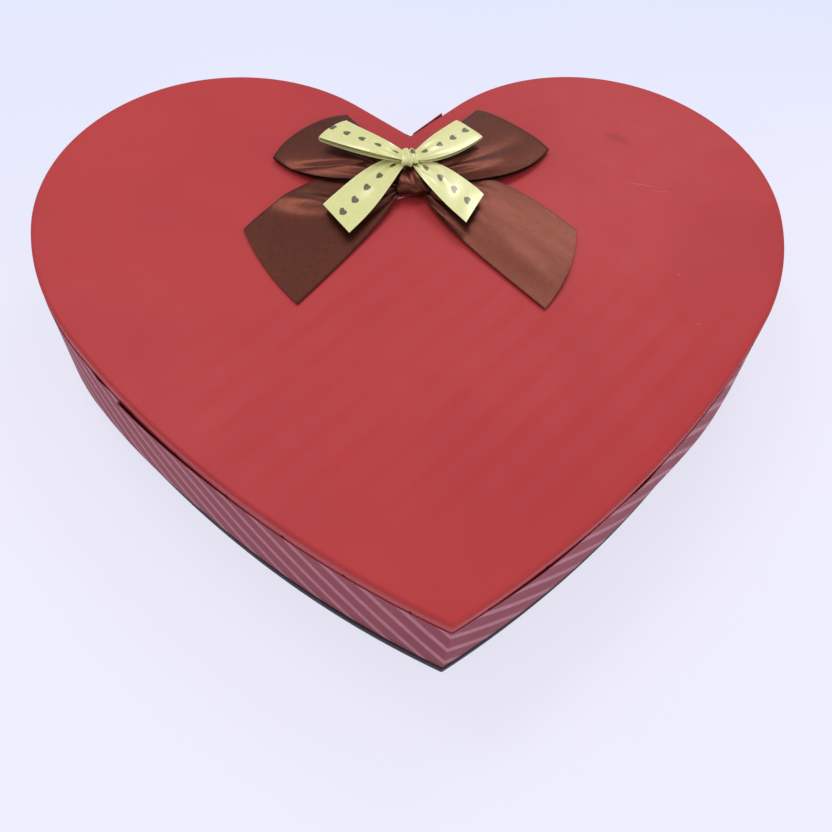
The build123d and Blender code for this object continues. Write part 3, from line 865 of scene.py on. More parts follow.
@dataclass
class Papers:
    """The lid's red sheet, its two striped strips and the base's black paper."""

    plan: HeartPlan = field(default_factory=HeartPlan)
    paper: float = 0.3 * MM
    board: float = 1.5 * MM
    rim: float = 7 * MM
    turn_down: float = 14 * MM
    turn_in: float = 9 * MM
    base_turn_in: float = 14 * MM
    base_height: float = 3.6 * MM
    base_bend: float = 0.5 * MM
    seat: float = 0.2 * MM
    roll: float = 1.5 * MM
    tip_lap: float = 3.5 * MM
    cleft_lap: float = 20 * MM
    tab_stand: float = 1.0 * MM
    tab_below_top: float = 0.4 * MM
    left_flare: float = 1.3 * MM
    right_flare: float = 3.0 * MM
    loose: float = 0.12 * MM
    swell: float = 0.3 * MM
    peep: float = 0.7 * MM
    snip_pitch: float = 24 * MM
    snip_depth: float = 0.5 * MM
    snip_half: float = 0.55 * MM
    mesh_step: float = 2 * MM
    strip_step: float = 1.5 * MM
    centre: Point = (0.0, 20 * MM)
    left_lifts: tuple[Lift, ...] = (
        Lift(-50 * MM, -141 * MM, 1.1 * MM, True),
        Lift(-146 * MM, -160 * MM, 0.5 * MM),
    )
    right_lifts: tuple[Lift, ...] = (
        Lift(6 * MM, 66 * MM, 0.55 * MM),
        Lift(74 * MM, 98 * MM, 0.45 * MM),
    )

    @property
    def skirt_bottom(self) -> float:
        """Height of the skirt's foot."""
        return self.base_height + self.seat

    def wrap(
        self,
        name: str,
        profile: Sequence[Turn],
        puff: np.ndarray,
        snips: np.ndarray,
        places: np.ndarray,
        material: Material,
    ) -> Piece:
        """Closed sheet swept round the whole outline, with a flat middle on both its faces.

        Args:
            name: the piece's name.
            profile: corners from the outer face's flat to the inner one's.
            puff: how far the sheet stands out at each place.
            snips: how deep it is cut at each place.
            places: places round the outline.
            material: its finish.

        Returns:
            The new object, with marks for its outer edge and its snips.
        """
        rings, edges, cuts = [], [], []
        none = np.zeros(len(places))
        middle = np.array(self.centre)
        shares = np.linspace(0.1, 0.9, 9)

        def flat_rings(rim: Turn, order: np.ndarray) -> None:
            """Rings of the flat middle, scaled about its centre.

            Args:
                rim: the flat's outer corner.
                order: shares of its size, in order.
            """
            spots, _ = self.plan.at(places, rim.inset)
            for share in order:
                spot = middle + (spots - middle) * share
                rings.append(np.column_stack([spot, np.full(len(spot), rim.z)]))
                edges.append(0.0)
                cuts.append(none)

        flat_rings(profile[0], shares)
        for turn in profile:
            spots, normals = self.plan.at(places, turn.inset)
            spots = spots + normals * (puff * turn.puff - snips * turn.snip)[:, None]
            rings.append(np.column_stack([spots, np.full(len(spots), turn.z)]))
            cuts.append(snips * turn.snip / self.snip_depth)
            edges.append(hill(turn.inset, self.roll / 3, self.roll / 2))
        flat_rings(profile[-1], shares[::-1])
        grid = np.stack(rings, axis=1)
        rows, columns, _ = grid.shape
        points = grid.reshape(-1, 3)
        faces = grid_faces(rows, columns, round_rows=True)
        outer, inner = len(points), len(points) + 1
        ends = [[*middle, profile[0].z], [*middle, profile[-1].z]]
        for row in range(rows):
            here, there = row * columns, (row + 1) % rows * columns
            faces.append([here, outer, there])
            faces.append([there + columns - 1, inner, here + columns - 1])
        piece = make_object(name, np.vstack([points, ends]), faces, material)
        # the edge mark feeds the rubbed edge and its painted highlight; the snip mark feeds the painted shade
        # in the snips
        marks = {"edge": np.tile(edges, rows), "snip": np.stack(cuts, axis=1).ravel()}
        for mark, values in marks.items():
            attribute = piece.data.attributes.new(mark, "FLOAT", "POINT")
            attribute.data.foreach_set("value", np.concatenate([values, [0, 0]]).astype(np.float32))
        return piece

    def rounded(self, inset: float, z: float, radius: float, first: float, last: float) -> list[Turn]:
        """Profile points of a rounded corner.

        Args:
            inset: inset of the arc's centre.
            z: height of the arc's centre.
            radius: the arc's radius.
            first: angle where it starts, in degrees; 0 points inwards and 90 up.
            last: angle where it ends.

        Returns:
            Corners without puff or snips.
        """
        angles = np.radians(np.linspace(first, last, 9))
        return [Turn(inset + radius * math.cos(a), z + radius * math.sin(a)) for a in angles]

    def red_sheet(self) -> None:
        """The red sheet over the top, with a soft rolled edge and its turn-down."""
        top, flat = self.plan.height, 9 * MM
        under = top - self.paper
        foot = under - self.turn_down
        turn = top - self.roll
        bend = self.plan.leaned(self.paper + self.roll, turn)
        profile = [Turn(flat, top), Turn(4 * MM, top)]
        for corner in self.rounded(bend, turn, self.roll, 90, 180):
            profile.append(corner._replace(puff=(top - corner.z) / self.roll * 0.6))
        for drop, puff, snip in (
            (2.4, 1.0, 0.0),
            (3.4, 0.9, 0.0),
            (4.6, 0.7, 0.0),
            (5.4, 0.4, 0.2),
            (6.0, 0.2, 1.0),
            (7.2, 0.0, 1.0),
        ):
            z = top - drop * MM
            profile.append(Turn(self.plan.leaned(self.paper, z), z, puff, snip))
        profile.append(Turn(self.plan.leaned(self.paper, foot), foot, 0.0, 0.4))
        profile.append(Turn(self.plan.leaned(2 * self.paper, foot), foot))
        profile += self.rounded(bend, turn, self.roll - self.paper, 180, 90)
        profile.append(Turn(flat, under))
        cuts = np.concatenate([side * np.arange(0.6, 6) * self.snip_pitch for side in (-1, 1)])
        beside = np.array([-0.6, -0.3, 0.0, 0.3, 0.6]) * MM
        even = self.plan.round_trip(self.mesh_step)
        places = np.unique(np.concatenate([even, (cuts[:, None] + beside).ravel()]))
        puff = self.loose + self.swell * hill(places, -20 * MM, 38 * MM)
        puff += 0.05 * MM * np.sin(places / (7 * MM)) * np.sin(places / (19 * MM))
        near = np.abs(places[:, None] - cuts).min(axis=1)
        snips = self.snip_depth * np.clip(1 - near / self.snip_half, 0, 1)
        piece = self.wrap("red_cover", profile, puff, snips, places, RedPaper().material())
        stand_for(piece, Body.LID, "lid_cover_paper")

    def black_sheet(self) -> None:
        """The black paper round the base's board, turned in over its edge."""
        outer = self.plan.leaned(0.0, self.skirt_bottom)
        inner, deep, flat = outer + self.paper, outer + self.base_turn_in, 6 * MM
        top, bend = self.base_height, self.base_bend
        under = top - self.paper
        edge = self.rounded(outer + bend, bend, bend, 270, 180)
        edge += self.rounded(outer + bend, top - bend, bend, 180, 90)
        profile = [Turn(flat, 0.0)] + [corner._replace(puff=1.0) for corner in edge]
        profile += [Turn(deep, top), Turn(deep, under), Turn(inner, under), Turn(inner, self.paper)]
        profile.append(Turn(flat, self.paper))
        places = self.plan.round_trip(self.mesh_step)
        peep = self.peep * hill(places, -30 * MM, 60 * MM)
        finish = PlainPaper("black_base_paper", srgb(40, 37, 47), srgb(58, 54, 66), srgb(90, 86, 94), 0.7)
        piece = self.wrap("black_base", profile, peep, np.zeros(len(places)), places, finish.material())
        stand_for(piece, Body.BASE, "base_paper")

    def strip_places(self, first: float, last: float, lifts: Sequence[Lift]) -> np.ndarray:
        """Places along a strip, closer together at the point, the cleft and the ends of its lifts.

        Args:
            first: where the strip starts.
            last: where it ends.
            lifts: its lifted stretches.

        Returns:
            Signed places, in order.
        """
        stops = np.array([lift.stop for lift in lifts])
        beside = 0.15 * MM
        corner = np.linspace(-3 * MM, 3 * MM, 13)
        cleft = -self.plan.lengths()[-1]
        even = np.arange(first, last, self.strip_step)
        places = np.concatenate([even, corner, stops - beside, stops, stops + beside, cleft + corner, [last]])
        return np.unique(np.round(places[(places >= first) & (places <= last)], 6))

    def strip_profile(self) -> list[StripTurn]:
        """Corners of a strip: down its outside, round the skirt's foot, up the inside and back under it.

        Returns:
            Corners in order, from the top edge's outside to its inside.
        """
        bend, nick = 0.4 * MM, 0.12 * MM
        wall_out = 2 * self.paper
        wall_in = wall_out + self.board
        inside = wall_in + self.paper
        cover = self.plan.height - self.paper - self.turn_down - self.skirt_bottom
        cover_foot = cover / (self.plan.height - self.rim - self.skirt_bottom)
        lifted = ((1.0, 1.0), (0.955, 0.6), (0.9, 0.3))
        pasted = ((0.8, 0.05), (0.6, 0.0), (0.3, 0.0))
        turns = [StripTurn(0.0, share, stand=stand) for share, stand in lifted + pasted]
        for inset, up in (
            (0.0, bend),
            (nick, nick),
            (bend, 0.0),
            (inside - bend, 0.0),
            (inside - nick, nick),
            (inside, bend),
            (inside, self.turn_in),
            (wall_in, self.turn_in),
            (wall_in, self.paper),
            (wall_out, self.paper),
        ):
            turns.append(StripTurn(inset, up=up))
        turns += [StripTurn(wall_out, cover_foot - 0.02), StripTurn(self.paper, cover_foot)]
        return turns + [StripTurn(self.paper, share, stand=stand) for share, stand in reversed(lifted)]

    def strip(self, name: str, first: float, last: float, lifts: Sequence[Lift], node: str) -> None:
        """A striped strip: pasted over the red turn-down, round the skirt's foot and turned up inside.

        Args:
            name: the piece's name.
            first: place along the outline where it starts.
            last: place where it ends.
            lifts: stretches of its top edge that have come away.
            node: the solid that it stands for.
        """
        places = self.strip_places(first, last, lifts)
        past = -self.plan.lengths()[-1] - places
        tab = smooth((past + 2 * MM) / (4 * MM))
        stand = self.loose + sum(lift.at(places) for lift in lifts)
        stand = stand + np.clip(past / self.cleft_lap, 0, 1) * self.tab_stand
        edge = self.plan.height - self.rim + 0.25 * MM * np.sin(places / (23 * MM))
        edge = edge + tab * (self.rim - self.tab_below_top)
        away = np.abs(places)
        flare = np.where(places < 0, self.left_flare, self.right_flare)
        flare = flare * smooth((away - 100 * MM) / (55 * MM)) * smooth((285 * MM - away) / (60 * MM))
        rings, flats = [], []
        run = 0.0
        last_spot: Point | None = None
        for inset, share, up, lift in self.strip_profile():
            z = self.skirt_bottom + share * (edge - self.skirt_bottom) + up
            level = float(z.mean())
            spots, normals = self.plan.at(places, self.plan.leaned(inset, level))
            lean = flare * (1 - z / edge) * (inset < 2 * self.paper)
            spots = spots + normals * (stand * lift + lean)[:, None]
            rings.append(np.column_stack([spots, z]))
            if last_spot is not None:
                run += math.hypot(inset - last_spot[0], level - last_spot[1])
            last_spot = (inset, level)
            high = z if inset == 0.0 else np.full(len(places), self.plan.height - run)
            flats.append(np.column_stack([places, high]))
        grid, flat = np.stack(rings, axis=1), np.stack(flats, axis=1)
        rows, columns, _ = grid.shape
        faces = grid_faces(rows, columns)
        for row in range(rows - 1):
            here, there = row * columns, (row + 1) * columns
            faces.append([here + columns - 1, there + columns - 1, there, here])
        faces.append(list(range(columns)))
        faces.append([(rows - 1) * columns + column for column in reversed(range(columns))])
        finish = StripedPaper(name + "_paper")
        piece = make_object(name, grid.reshape(-1, 3), faces, finish.material(), flat.reshape(-1, 2))
        stand_for(piece, Body.LID, node)

    def build(self) -> None:
        """Make all four papers."""
        cleft = float(self.plan.lengths()[-1])
        self.red_sheet()
        self.black_sheet()
        for name, first, last, lifts, node in (
            ("stripes_right", self.tip_lap, cleft - self.cleft_lap, self.right_lifts, "side_paper_right"),
            ("stripes_left", -cleft - self.cleft_lap, self.tip_lap, self.left_lifts, "side_paper_left"),
        ):
            self.strip(name, first, last, lifts, node)


@dataclass(frozen=True)
class Rail:
    """One edge of an arm in plan: a curve in millimetres from the knot, past two handles, to its end."""

    knot: Point
    lead: Point
    draw: Point
    end: Point

    def at(self, share: np.ndarray) -> np.ndarray:
        """Points at shares of the way out, in metres.

        Args:
            share: shares of the way out.

        Returns:
            Plan points, one row each.
        """
        t = share[:, None]
        corners = (self.knot, self.lead, self.draw, self.end)
        knot, lead, draw, end = (np.array(corner) * MM for corner in corners)
        return knot * (1 - t) ** 3 + 3 * lead * t * (1 - t) ** 2 + 3 * draw * t**2 * (1 - t) + end * t**3


@dataclass(frozen=True)
class Ripple:
    """A soft ridge, or a hollow where its height is minus, at a share of an arm's way out and across."""

    out: float
    across: float
    height: float
    long: float
    wide: float
    turn: float = 0.0

    def at(self, out: np.ndarray, across: np.ndarray) -> np.ndarray:
        """Its height over a grid of shares.

        Args:
            out: shares of the way out from the knot.
            across: shares of the way from back to front.

        Returns:
            Heights in metres.
        """
        turn = math.radians(self.turn)
        along = (out - self.out) * math.cos(turn) + (across - self.across) * math.sin(turn)
        aside = (across - self.across) * math.cos(turn) - (out - self.out) * math.sin(turn)
        return self.height * MM * hill(along, 0, self.long) * hill(aside, 0, self.wide)


@dataclass(frozen=True)
class Arm:
    """One tail, or one layer's plan of a loop: two rails, heights in millimetres, gathers and ripples."""

    back: Rail
    front: Rail
    root: float
    rest: float
    hump: float = 0.0
    arch: float = 0.0
    bulge: float = 0.0
    gather: float = 1.15
    pleats: float = 5.0
    slip: float = 0.0
    fade: float = 0.68
    ripples: tuple[Ripple, ...] = ()

    def plan(self, out: np.ndarray, across: np.ndarray) -> np.ndarray:
        """Grid of plan points; the end bulges out between its corners.

        Args:
            out: shares of the way out from the knot.
            across: shares of the way from back to front.

        Returns:
            Plan points, of shape (out, across, 2).
        """
        back, front = self.back.at(out), self.front.at(out)
        spots = back[:, None] + (front - back)[:, None] * across[None, :, None]
        swell = (self.bulge * MM * out[:, None] ** 3 * 4 * across * (1 - across))[..., None]
        return spots + self.outward() * swell

    def outward(self) -> np.ndarray:
        """Direction square to the arm's end, away from the knot.

        Returns:
            A unit vector in plan.
        """
        edge = np.array(self.front.end) - np.array(self.back.end)
        normal = np.array([edge[1], -edge[0]]) / np.linalg.norm(edge)
        away = np.array(self.front.end) - np.array(self.front.knot)
        return normal if normal @ away > 0 else -normal

    def folds(self, out: np.ndarray, across: np.ndarray) -> np.ndarray:
        """Heights that the gathers and ripples add, on a grid.

        Args:
            out: shares of the way out from the knot.
            across: shares of the way from back to front.

        Returns:
            Heights in metres, of shape (out, across).
        """
        grid_out, grid_across = np.meshgrid(out, across, indexing="ij")
        fade = np.clip(1 - grid_out / self.fade, 0, 1) ** 1.6
        sway = 0.25 * np.sin(3 * grid_out)
        grip = 0.35 + 0.65 * np.minimum(grid_out / 0.12, 1)
        wave = np.cos(2 * math.pi * (self.pleats * grid_across + self.slip + sway))
        height = self.gather * MM * fade * wave * grip
        return height + sum(ripple.at(grid_out, grid_across) for ripple in self.ripples)

    def fall(self, out: np.ndarray) -> np.ndarray:
        """Heights along the arm's middle, from its root down to where it rests, in millimetres."""
        return self.root + (self.rest - self.root) * smooth(out * 1.15) + self.hump * np.sin(out * math.pi)

    def tail(self, out: np.ndarray, across: np.ndarray) -> np.ndarray:
        """Points of a tail, from the knot to its cut end.

        Args:
            out: shares of the way out from the knot.
            across: shares of the way from back to front.

        Returns:
            Points of shape (out, across, 3).
        """
        crown = self.arch * np.sin(out * math.pi)[:, None] * (1 - (2 * across - 1) ** 2)
        z = (self.fall(out)[:, None] + crown) * MM + self.folds(out, across)
        return np.dstack([self.plan(out, across), z])


@dataclass(frozen=True)
class Loop:
    """A loop of ribbon: an arm whose upper layer stands off the lower one and folds over at its end."""

    arm: Arm
    core: float
    belly: float
    fold: float
    edge: float
    slack: float = 0.0

    @property
    def under(self) -> Arm:
        """The lower layer's arm, smooth and lower by the slack."""
        return replace(self.arm, ripples=(), hump=self.arm.hump - self.slack)

    def lower(self, out: np.ndarray, across: np.ndarray) -> np.ndarray:
        """Points of the lower layer, from the knot outwards."""
        return self.under.tail(out, across)

    def upper(self, out: np.ndarray, across: np.ndarray) -> np.ndarray:
        """Points of the upper layer, from the knot outwards.

        Args:
            out: shares of the way out from the knot.
            across: shares of the way from back to front.

        Returns:
            Points of shape (out, across, 3).
        """
        gap = self.core * (1 - out) + self.fold * out + self.belly * np.sin(out**0.85 * math.pi)
        pillow = self.edge + (1 - self.edge) * (1 - (2 * across - 1) ** 4)
        z = (self.arm.fall(out)[:, None] + gap[:, None] * pillow) * MM + self.arm.folds(out, across)
        return np.dstack([self.arm.plan(out, across), z])

    def turn(self, across: np.ndarray, steps: int) -> np.ndarray:
        """Points of the rounded fold, from the upper layer's end to the lower one's.

        Args:
            across: shares of the way from back to front.
            steps: rows of points round the fold.

        Returns:
            Points of shape (steps, across, 3).
        """
        end = np.array([1.0])
        high, low = self.upper(end, across)[0], self.lower(end, across)[0]
        angles = np.linspace(0, math.pi, steps + 2)[1:-1]
        radius = (high[:, 2] - low[:, 2]) / 2
        rows = []
        for angle in angles:
            row = (high + low) / 2
            row[:, :2] += self.arm.outward() * (radius * math.sin(angle))[:, None]
            row[:, 2] += radius * math.cos(angle)
            rows.append(row)
        return np.stack(rows)


@dataclass
class Ribbon:
    """A bow's ribbon: its satin and thickness, and how finely it is meshed along and across an arm."""

    finish: Satin
    thickness: float
    slot: Slot
    along: int
    across: int
    fold_steps: int = 7

    def lay(self, name: str, grid: np.ndarray, width: float, node: str) -> None:
        """Make one length of ribbon from its points.

        Args:
            name: the piece's name.
            grid: points along and across it, of shape (rows, columns, 3).
            width: its flat width.
            node: the solid that it stands for.
        """
        columns = grid.shape[1]
        run = run_along(grid[:, columns // 2])
        length = float(run[-1])
        flat = np.stack(np.meshgrid(run, np.linspace(0, width, columns), indexing="ij"), axis=2)
        piece = thick_sheet(name, grid, flat, self.thickness, self.finish.material())
        stand_for(piece, Body.LID, node)
        kept = sum(face.area for face in piece.data.polygons) / 2 / (width * length)
        LOG.info("%s: %.0f x %.0f mm, area kept %.2f", name, width / MM, length / MM, kept)

    def tails(self, name: str, left: Arm, right: Arm, node: str, rests: str) -> None:
        """Both tails and the waist between them, as one length.

        Args:
            name: the piece's name.
            left: the left side.
            right: the right side.
            node: the solid that it stands for.
            rests: what it lies on; not used.
        """
        out, across = np.linspace(0, 1, self.along), np.linspace(0, 1, self.across)
        grid = np.concatenate([left.tail(out, across)[::-1], right.tail(out, across)])
        self.lay(name, grid, self.finish.width, node)

    def loops(self, name: str, left: Loop, right: Loop, node: str, rests: str) -> None:
        """Both loops as one length: out along the top, round the fold and back below on each side.

        Args:
            name: the piece's name.
            left: the left side.
            right: the right side.
            node: the solid that it stands for.
            rests: what it lies on; not used.
        """
        out, across = np.linspace(0, 1, self.along), np.linspace(0, 1, self.across)
        sides = []
        for loop in (right, left):
            fold = loop.turn(across, self.fold_steps)
            sides.append(np.concatenate([loop.upper(out, across), fold, loop.lower(out, across)[::-1]]))
        grid = np.concatenate([sides[0], sides[1][::-1]])
        self.lay(name, grid, self.finish.width, node)


@dataclass(frozen=True)
class Knot:
    """A gathered band round a bow's waist, in millimetres: its centre, reach, width and gathers."""

    x: float
    y: float
    z: float
    deep: float
    tall: float
    width: float
    strip: float
    pleats: float
    gather: float
    twist: float
    slant: float
    squareness: float = 2.6
    pinch: float = 0.14
    round_edge: float = 0.9
    first_turn: float = math.radians(-84)
    last_turn: float = math.radians(264)
    around: int = 72
    across: int = 25

    def build(self, name: str, ribbon: Ribbon, node: str, rests: str) -> None:
        """Make the band, wrapped once round with its ends underneath.

        Args:
            name: the piece's name.
            ribbon: what it is made of.
            node: the solid that it stands for.
            rests: what it lies on; not used.
        """
        around = np.linspace(self.first_turn, self.last_turn, self.around)
        turn, side = np.meshgrid(around, np.linspace(-1, 1, self.across), indexing="ij")
        power = 2 / self.squareness
        front = -np.sign(np.cos(turn)) * np.abs(np.cos(turn)) ** power
        high = np.sign(np.sin(turn)) * np.abs(np.sin(turn)) ** power
        pinch = 1 - self.pinch * np.maximum(high, 0) ** 2
        wave = math.pi * self.pleats * side
        pleat = np.cos(wave + self.slant * turn) + 0.4 * np.cos(1.7 * wave - 1.1 + self.slant * turn)
        barrel = self.gather * pleat * (1 - 0.4 * side**2) - self.round_edge * side**4
        x = self.x + side * self.width / 2 * pinch + self.twist * 0.5 * np.cos(turn)
        y = self.y + front * (self.deep + barrel * 0.8)
        z = self.z + high * (self.tall + barrel)
        ribbon.lay(name, np.dstack([x, y, z]) * MM, self.strip * MM, node)


class Drop(NamedTuple):
    """A drop of glue, in millimetres."""

    x: float
    y: float
    height: float
    wide: float


@dataclass(frozen=True)
class Glue:
    """The glue under the knot, in millimetres: a low pad, squeezed out into two drops at its left front."""

    x: float = -2.0
    y: float = 56.0
    wide: float = 5.6
    deep: float = 3.6
    dome: float = 0.9
    squeeze: float = 4.2
    squeeze_way: float = math.radians(222)
    squeeze_spread: float = 0.3
    drops: tuple[Drop, ...] = (Drop(-7.6, 50.6, 1.5, 0.9), Drop(-7.9, 52.3, 1.2, 0.8))
    around: int = 72
    rings: int = 14

    def build(self) -> None:
        """Make the pad as rings about its top, closed below."""
        turns = np.linspace(0, 2 * math.pi, self.around + 1)[:-1]
        rings = np.linspace(0, 1, self.rings + 1)[1:]
        way = (turns - self.squeeze_way + math.pi) % (2 * math.pi) - math.pi
        reach = 1 / np.hypot(np.cos(turns) / self.wide, np.sin(turns) / self.deep)
        spread = rings[:, None] * (reach + self.squeeze * hill(way, 0, self.squeeze_spread))
        x, y = self.x + spread * np.cos(turns), self.y + spread * np.sin(turns)
        dome = self.dome * np.sqrt(np.clip(1 - rings**2, 0, 1))[:, None] * np.ones_like(spread)
        for drop in self.drops:
            near = hill(x, drop.x, drop.wide) * hill(y, drop.y, drop.wide)
            dome = dome + drop.height * near * (1 - rings[:, None] ** 6)
        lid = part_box("lid_cover_paper")[1][2]
        over = np.dstack([x * MM, y * MM, lid + dome * MM]).reshape(-1, 3)
        top = len(over)
        faces = []
        for here in range(self.around):
            there = (here + 1) % self.around
            faces.append([top, here, there])
            for low in range(0, top - self.around, self.around):
                high = low + self.around
                faces.append([low + here, high + here, high + there, low + there])
        faces.append(list(range(top - self.around, top))[::-1])
        points = np.vstack([over, [self.x * MM, self.y * MM, lid + self.dome * MM]])
        piece = make_object("glue", points, faces, HotGlue().material())
        stand_for(piece, Body.LID, "glue_bead")


class Bow:
    """The brown bow and the narrow yellow one tied on it, flat on the lid near the cleft."""

    def __init__(self) -> None:
        """Choose both ribbons."""
        brown = Satin(
            "brown_satin_ribbon",
            colour=srgb(105, 55, 41),
            shade=srgb(87, 44, 32),
            edge=srgb(62, 31, 25),
            width=40 * MM,
            roughness=0.36, metallic=0.78, gloss=0.0,
        )
        yellow = Satin(
            "yellow_satin_ribbon",
            colour=srgb(230, 229, 155),
            shade=srgb(218, 218, 138),
            edge=srgb(233, 232, 170),
            width=16 * MM,
            roughness=0.34, metallic=0.0, gloss=0.8,
            motif=srgb(46, 35, 28),
        )
        self.brown = Ribbon(brown, 0.3 * MM, Slot.BROWN, along=60, across=49)
        self.yellow = Ribbon(yellow, 0.25 * MM, Slot.YELLOW, along=34, across=21)

    def brown_bow(self) -> None:
        """Tails, loops and knot of the wide ribbon."""
        left_tail = Arm(
            Rail((-7, 57), (-24, 68), (-47, 63), (-67.9, 34.5)),
            Rail((-7, 50), (-12, 40), (-24, 24), (-47.1, -2.6)),
            root=53.2, rest=50.7, arch=0.5, bulge=2.0, slip=0.1,
            ripples=(Ripple(0.65, 0.24, 2.1, 0.25, 0.065, 117), Ripple(0.6, 0.0, 1.0, 0.2, 0.1)),
        )
        right_tail = Arm(
            Rail((3, 57), (22, 64), (40, 60), (62.3, 31.2)),
            Rail((3, 50), (6, 38), (18, 24), (44.3, -7.4)),
            root=53.2, rest=51.0, arch=1.3, bulge=3.0, slip=0.6,
            ripples=(Ripple(0.85, 0.68, 1.3, 0.28, 0.2), Ripple(0.5, 0.1, 1.2, 0.25, 0.35)),
        )
        self.brown.tails("brown_tails", left_tail, right_tail, "bow_tails", "red_cover")
        left_arm = Arm(
            Rail((-7, 62), (-10, 74), (-18, 84), (-26.5, 97.6)),
            Rail((-8, 55), (-24, 57), (-44, 56), (-56.9, 72.4)),
            root=53.8, rest=51.2, hump=0.6, bulge=4.0,
            ripples=(Ripple(0.57, 0.77, -1.7, 0.26, 0.035, 41),),
        )
        right_arm = Arm(
            Rail((3, 62), (7, 75), (18, 88), (29.6, 100.3)),
            Rail((4, 55), (22, 54.5), (45, 57), (57.2, 75.9)),
            root=53.8, rest=51.2, hump=0.6, bulge=1.5, slip=0.4,
            ripples=(Ripple(0.5, 0.62, -0.8, 0.3, 0.08, 4), Ripple(0.6, 0.78, 0.5, 0.22, 0.1)),
        )
        left_loop = Loop(left_arm, core=1.9, belly=1.6, fold=1.9, edge=0.42)
        right_loop = Loop(right_arm, core=1.9, belly=1.5, fold=1.9, edge=0.42)
        self.brown.loops("brown_loops", left_loop, right_loop, "bow_loops", "brown_tails")
        knot = Knot(-2, 56.7, 54.2, 7.3, 3.4, 13.0, 16, 1.7, 0.5, 1.5, slant=2.6, squareness=2.3)
        knot.build("brown_knot", self.brown, "bow_knot", "brown_loops")

    def yellow_bow(self) -> None:
        """Tails, loops and knot of the narrow ribbon."""
        left_tail = Arm(
            Rail((-4.5, 63.6), (-15, 66), (-26, 56), (-37.1, 42.6)),
            Rail((-4, 60.6), (-8, 54), (-14, 43), (-27.3, 27.7)),
            root=59.0, rest=55.4, hump=0.5, arch=0.5, gather=0.45, pleats=3,
            ripples=(Ripple(0.55, 0.7, 0.5, 0.12, 0.3, 20),),
        )
        right_tail = Arm(
            Rail((-0.5, 63.6), (8, 63.5), (17, 58), (26.1, 45)),
            Rail((-1.5, 60.6), (3, 50), (9, 42), (17.7, 30.3)),
            root=59.0, rest=57.2, hump=0.3, arch=0.5, gather=0.45, pleats=3, slip=0.3,
            ripples=(Ripple(0.5, 0.4, 0.5, 0.12, 0.3, -20), Ripple(0.95, 0.5, 0.5, 0.15, 0.6)),
        )
        self.yellow.tails("yellow_tails", left_tail, right_tail, "trim_tails", "brown_knot")
        left_arm = Arm(
            Rail((-5, 66), (-11, 68.5), (-18, 75), (-26.6, 84.2)),
            Rail((-5, 60.5), (-14, 59.5), (-25, 66), (-37.8, 74.5)),
            root=60.2, rest=58.6, hump=1.6, gather=0.35, pleats=3, bulge=0.8,
        )
        right_arm = Arm(
            Rail((0, 66), (4, 70), (9, 77), (18.4, 85.1)),
            Rail((0, 60.5), (8, 59.5), (17, 64), (28.3, 75.1)),
            root=60.2, rest=58.8, hump=0.5, gather=0.35, pleats=3, slip=0.3,
        )
        left_loop = Loop(left_arm, core=0.9, belly=1.0, fold=2.2, edge=0.8, slack=0.2)
        right_loop = Loop(right_arm, core=0.9, belly=0.7, fold=1.2, edge=0.7)
        self.yellow.loops("yellow_loops", left_loop, right_loop, "trim_loops", "brown_loops")
        knot = Knot(-2.6, 63.0, 60.2, 4.0, 1.9, 6.8, 10, 2.4, 0.36, 0.5, slant=0.8)
        knot.build("yellow_knot", self.yellow, "trim_knot", "brown_knot")

    def build(self) -> None:
        """Tie both bows over their glue."""
        self.brown_bow()
        self.yellow_bow()
        Glue().build()


def dress(node: str, material: Material) -> None:
    """Give a carried-over solid its finish.

    Args:
        node: the solid's name.
        material: its finish.
    """
    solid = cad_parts[node]
    solid.data.materials.clear()
    solid.data.materials.append(material)
    LOG.info("%s dressed in %s", node, material.name)


class Boards:
    """The greyboards and the plain papers inside the box, kept as the solids that they are."""

    def build(self) -> None:
        """Dress every inner solid."""
        board = PlainPaper(
            "greyboard", srgb(196, 188, 176), srgb(176, 167, 154), srgb(150, 142, 130), 0.8, 700
        )
        lining = PlainPaper(
            "lining_paper", srgb(243, 239, 232), srgb(234, 229, 220), srgb(226, 220, 208), 0.7, 1100
        )
        board_material, lining_material = board.material(), lining.material()
        for body, wall in (("lid", "lid_wall"), ("base", "tray_wall")):
            for node in (f"{body}_board", f"{wall}_left", f"{wall}_right"):
                dress(node, board_material)
        for node in ("lid_lining", "tray_paper_left", "tray_paper_right", "floor_lining"):
            dress(node, lining_material)


@dataclass(frozen=True)
class PhotoCamera:
    """Camera at the photograph's place: it looks down on the heart's point, a little from the left."""

    focal_px: float = 900.0
    image_px: float = 832.0
    axis_row: float = 410.0
    elevation: float = math.radians(58.24)
    azimuth: float = math.radians(-8.24)
    roll: float = math.radians(5.36)
    distance: float = 368.25 * MM
    target: tuple[float, float, float] = (-1.98 * MM, -18.5 * MM, 0.0)
    sensor: float = 36.0

    def build(self) -> None:
        """Make the camera and use it."""
        data = bpy.data.cameras.new("photo_camera")
        data.sensor_width = self.sensor
        data.lens = self.sensor * self.focal_px / self.image_px
        data.shift_y = (self.axis_row - self.image_px / 2) / self.image_px
        data.clip_start = 0.01
        camera = bpy.data.objects.new("photo_camera", data)
        swing = Matrix.Rotation(self.azimuth, 4, "Z") @ Matrix.Rotation(math.pi / 2 - self.elevation, 4, "X")
        stand_off = Matrix.Translation((0, 0, self.distance)) @ Matrix.Rotation(self.roll, 4, "Z")
        camera.matrix_world = Matrix.Translation(self.target) @ swing @ stand_off
        bpy.context.scene.collection.objects.link(camera)
        bpy.context.scene.camera = camera


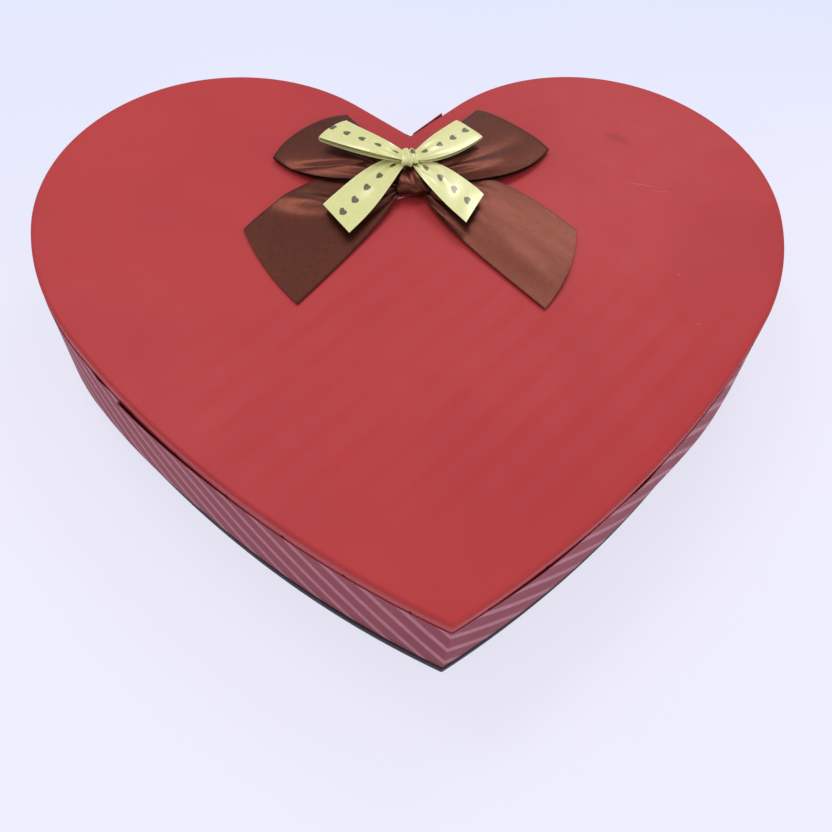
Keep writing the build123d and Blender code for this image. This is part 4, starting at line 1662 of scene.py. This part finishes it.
@dataclass(frozen=True)
class Lamp:
    """A square soft light: where it stands, how wide it is, its power and its colour."""

    name: str
    place: tuple[float, float, float]
    width: float
    watts: float
    colour: tuple[float, float, float]

    def build(self, aim: Vector) -> None:
        """Make the lamp, turned to a point.

        Args:
            aim: the point that it lights.
        """
        data = bpy.data.lights.new(self.name, "AREA")
        data.shape = "SQUARE"
        data.size = self.width
        data.energy = self.watts
        data.color = self.colour
        lamp = bpy.data.objects.new(self.name, data)
        lamp.location = self.place
        lamp.rotation_mode = "QUATERNION"
        lamp.rotation_quaternion = (aim - lamp.location).to_track_quat("-Z", "Y")
        bpy.context.scene.collection.objects.link(lamp)


@dataclass
class Studio:
    """Pale floor, soft sky, lamps high at the left and back right, weak ones in front and at the right."""

    floor_width: float = 8.0
    sky: Colour = (0.91, 0.92, 1.0, 1.0)
    sky_strength: float = 0.565
    aim: tuple[float, float, float] = (0.0, 0.0, 0.04)
    lamps: tuple[Lamp, ...] = (
        Lamp("key_lamp", (-0.4, 0.55, 1.15), 0.4, 3.8, (1.0, 0.99, 0.98)),
        Lamp("back_lamp", (0.46, 1.0, 1.2), 0.4, 5.0, (1.0, 0.99, 0.98)),
        Lamp("fill_lamp", (-0.55, -0.5, 1.1), 0.5, 1.3, (0.98, 0.98, 1.0)),
        Lamp("side_lamp", (0.8, -0.55, 0.55), 0.6, 1.3, (0.98, 0.98, 1.0)),
    )

    def floor(self) -> None:
        """The floor, level with the face that the box stands on."""
        half = self.floor_width / 2
        corners = np.array([[-half, -half, 0], [half, -half, 0], [half, half, 0], [-half, half, 0]])
        plane = make_object("floor", corners, [[0, 1, 2, 3]], StudioFloor().material())

    def light(self) -> None:
        """The sky and the lamps."""
        world = bpy.data.worlds.new("sky")
        world.use_nodes = True
        background = world.node_tree.nodes["Background"]
        background.inputs["Color"].default_value = self.sky
        background.inputs["Strength"].default_value = self.sky_strength
        bpy.context.scene.world = world
        for lamp in self.lamps:
            lamp.build(Vector(self.aim))

    def build(self) -> None:
        """Set up floor, light and colours."""
        self.floor()
        self.light()
        bpy.context.scene.view_settings.view_transform = "Standard"


def main() -> None:
    """Build the box's looks, piece by piece."""
    logging.basicConfig(level=logging.INFO, format="%(message)s")
    Papers().build()
    Boards().build()
    Bow().build()
    PhotoCamera().build()
    Studio().build()


if __name__ == "__main__":
    main()
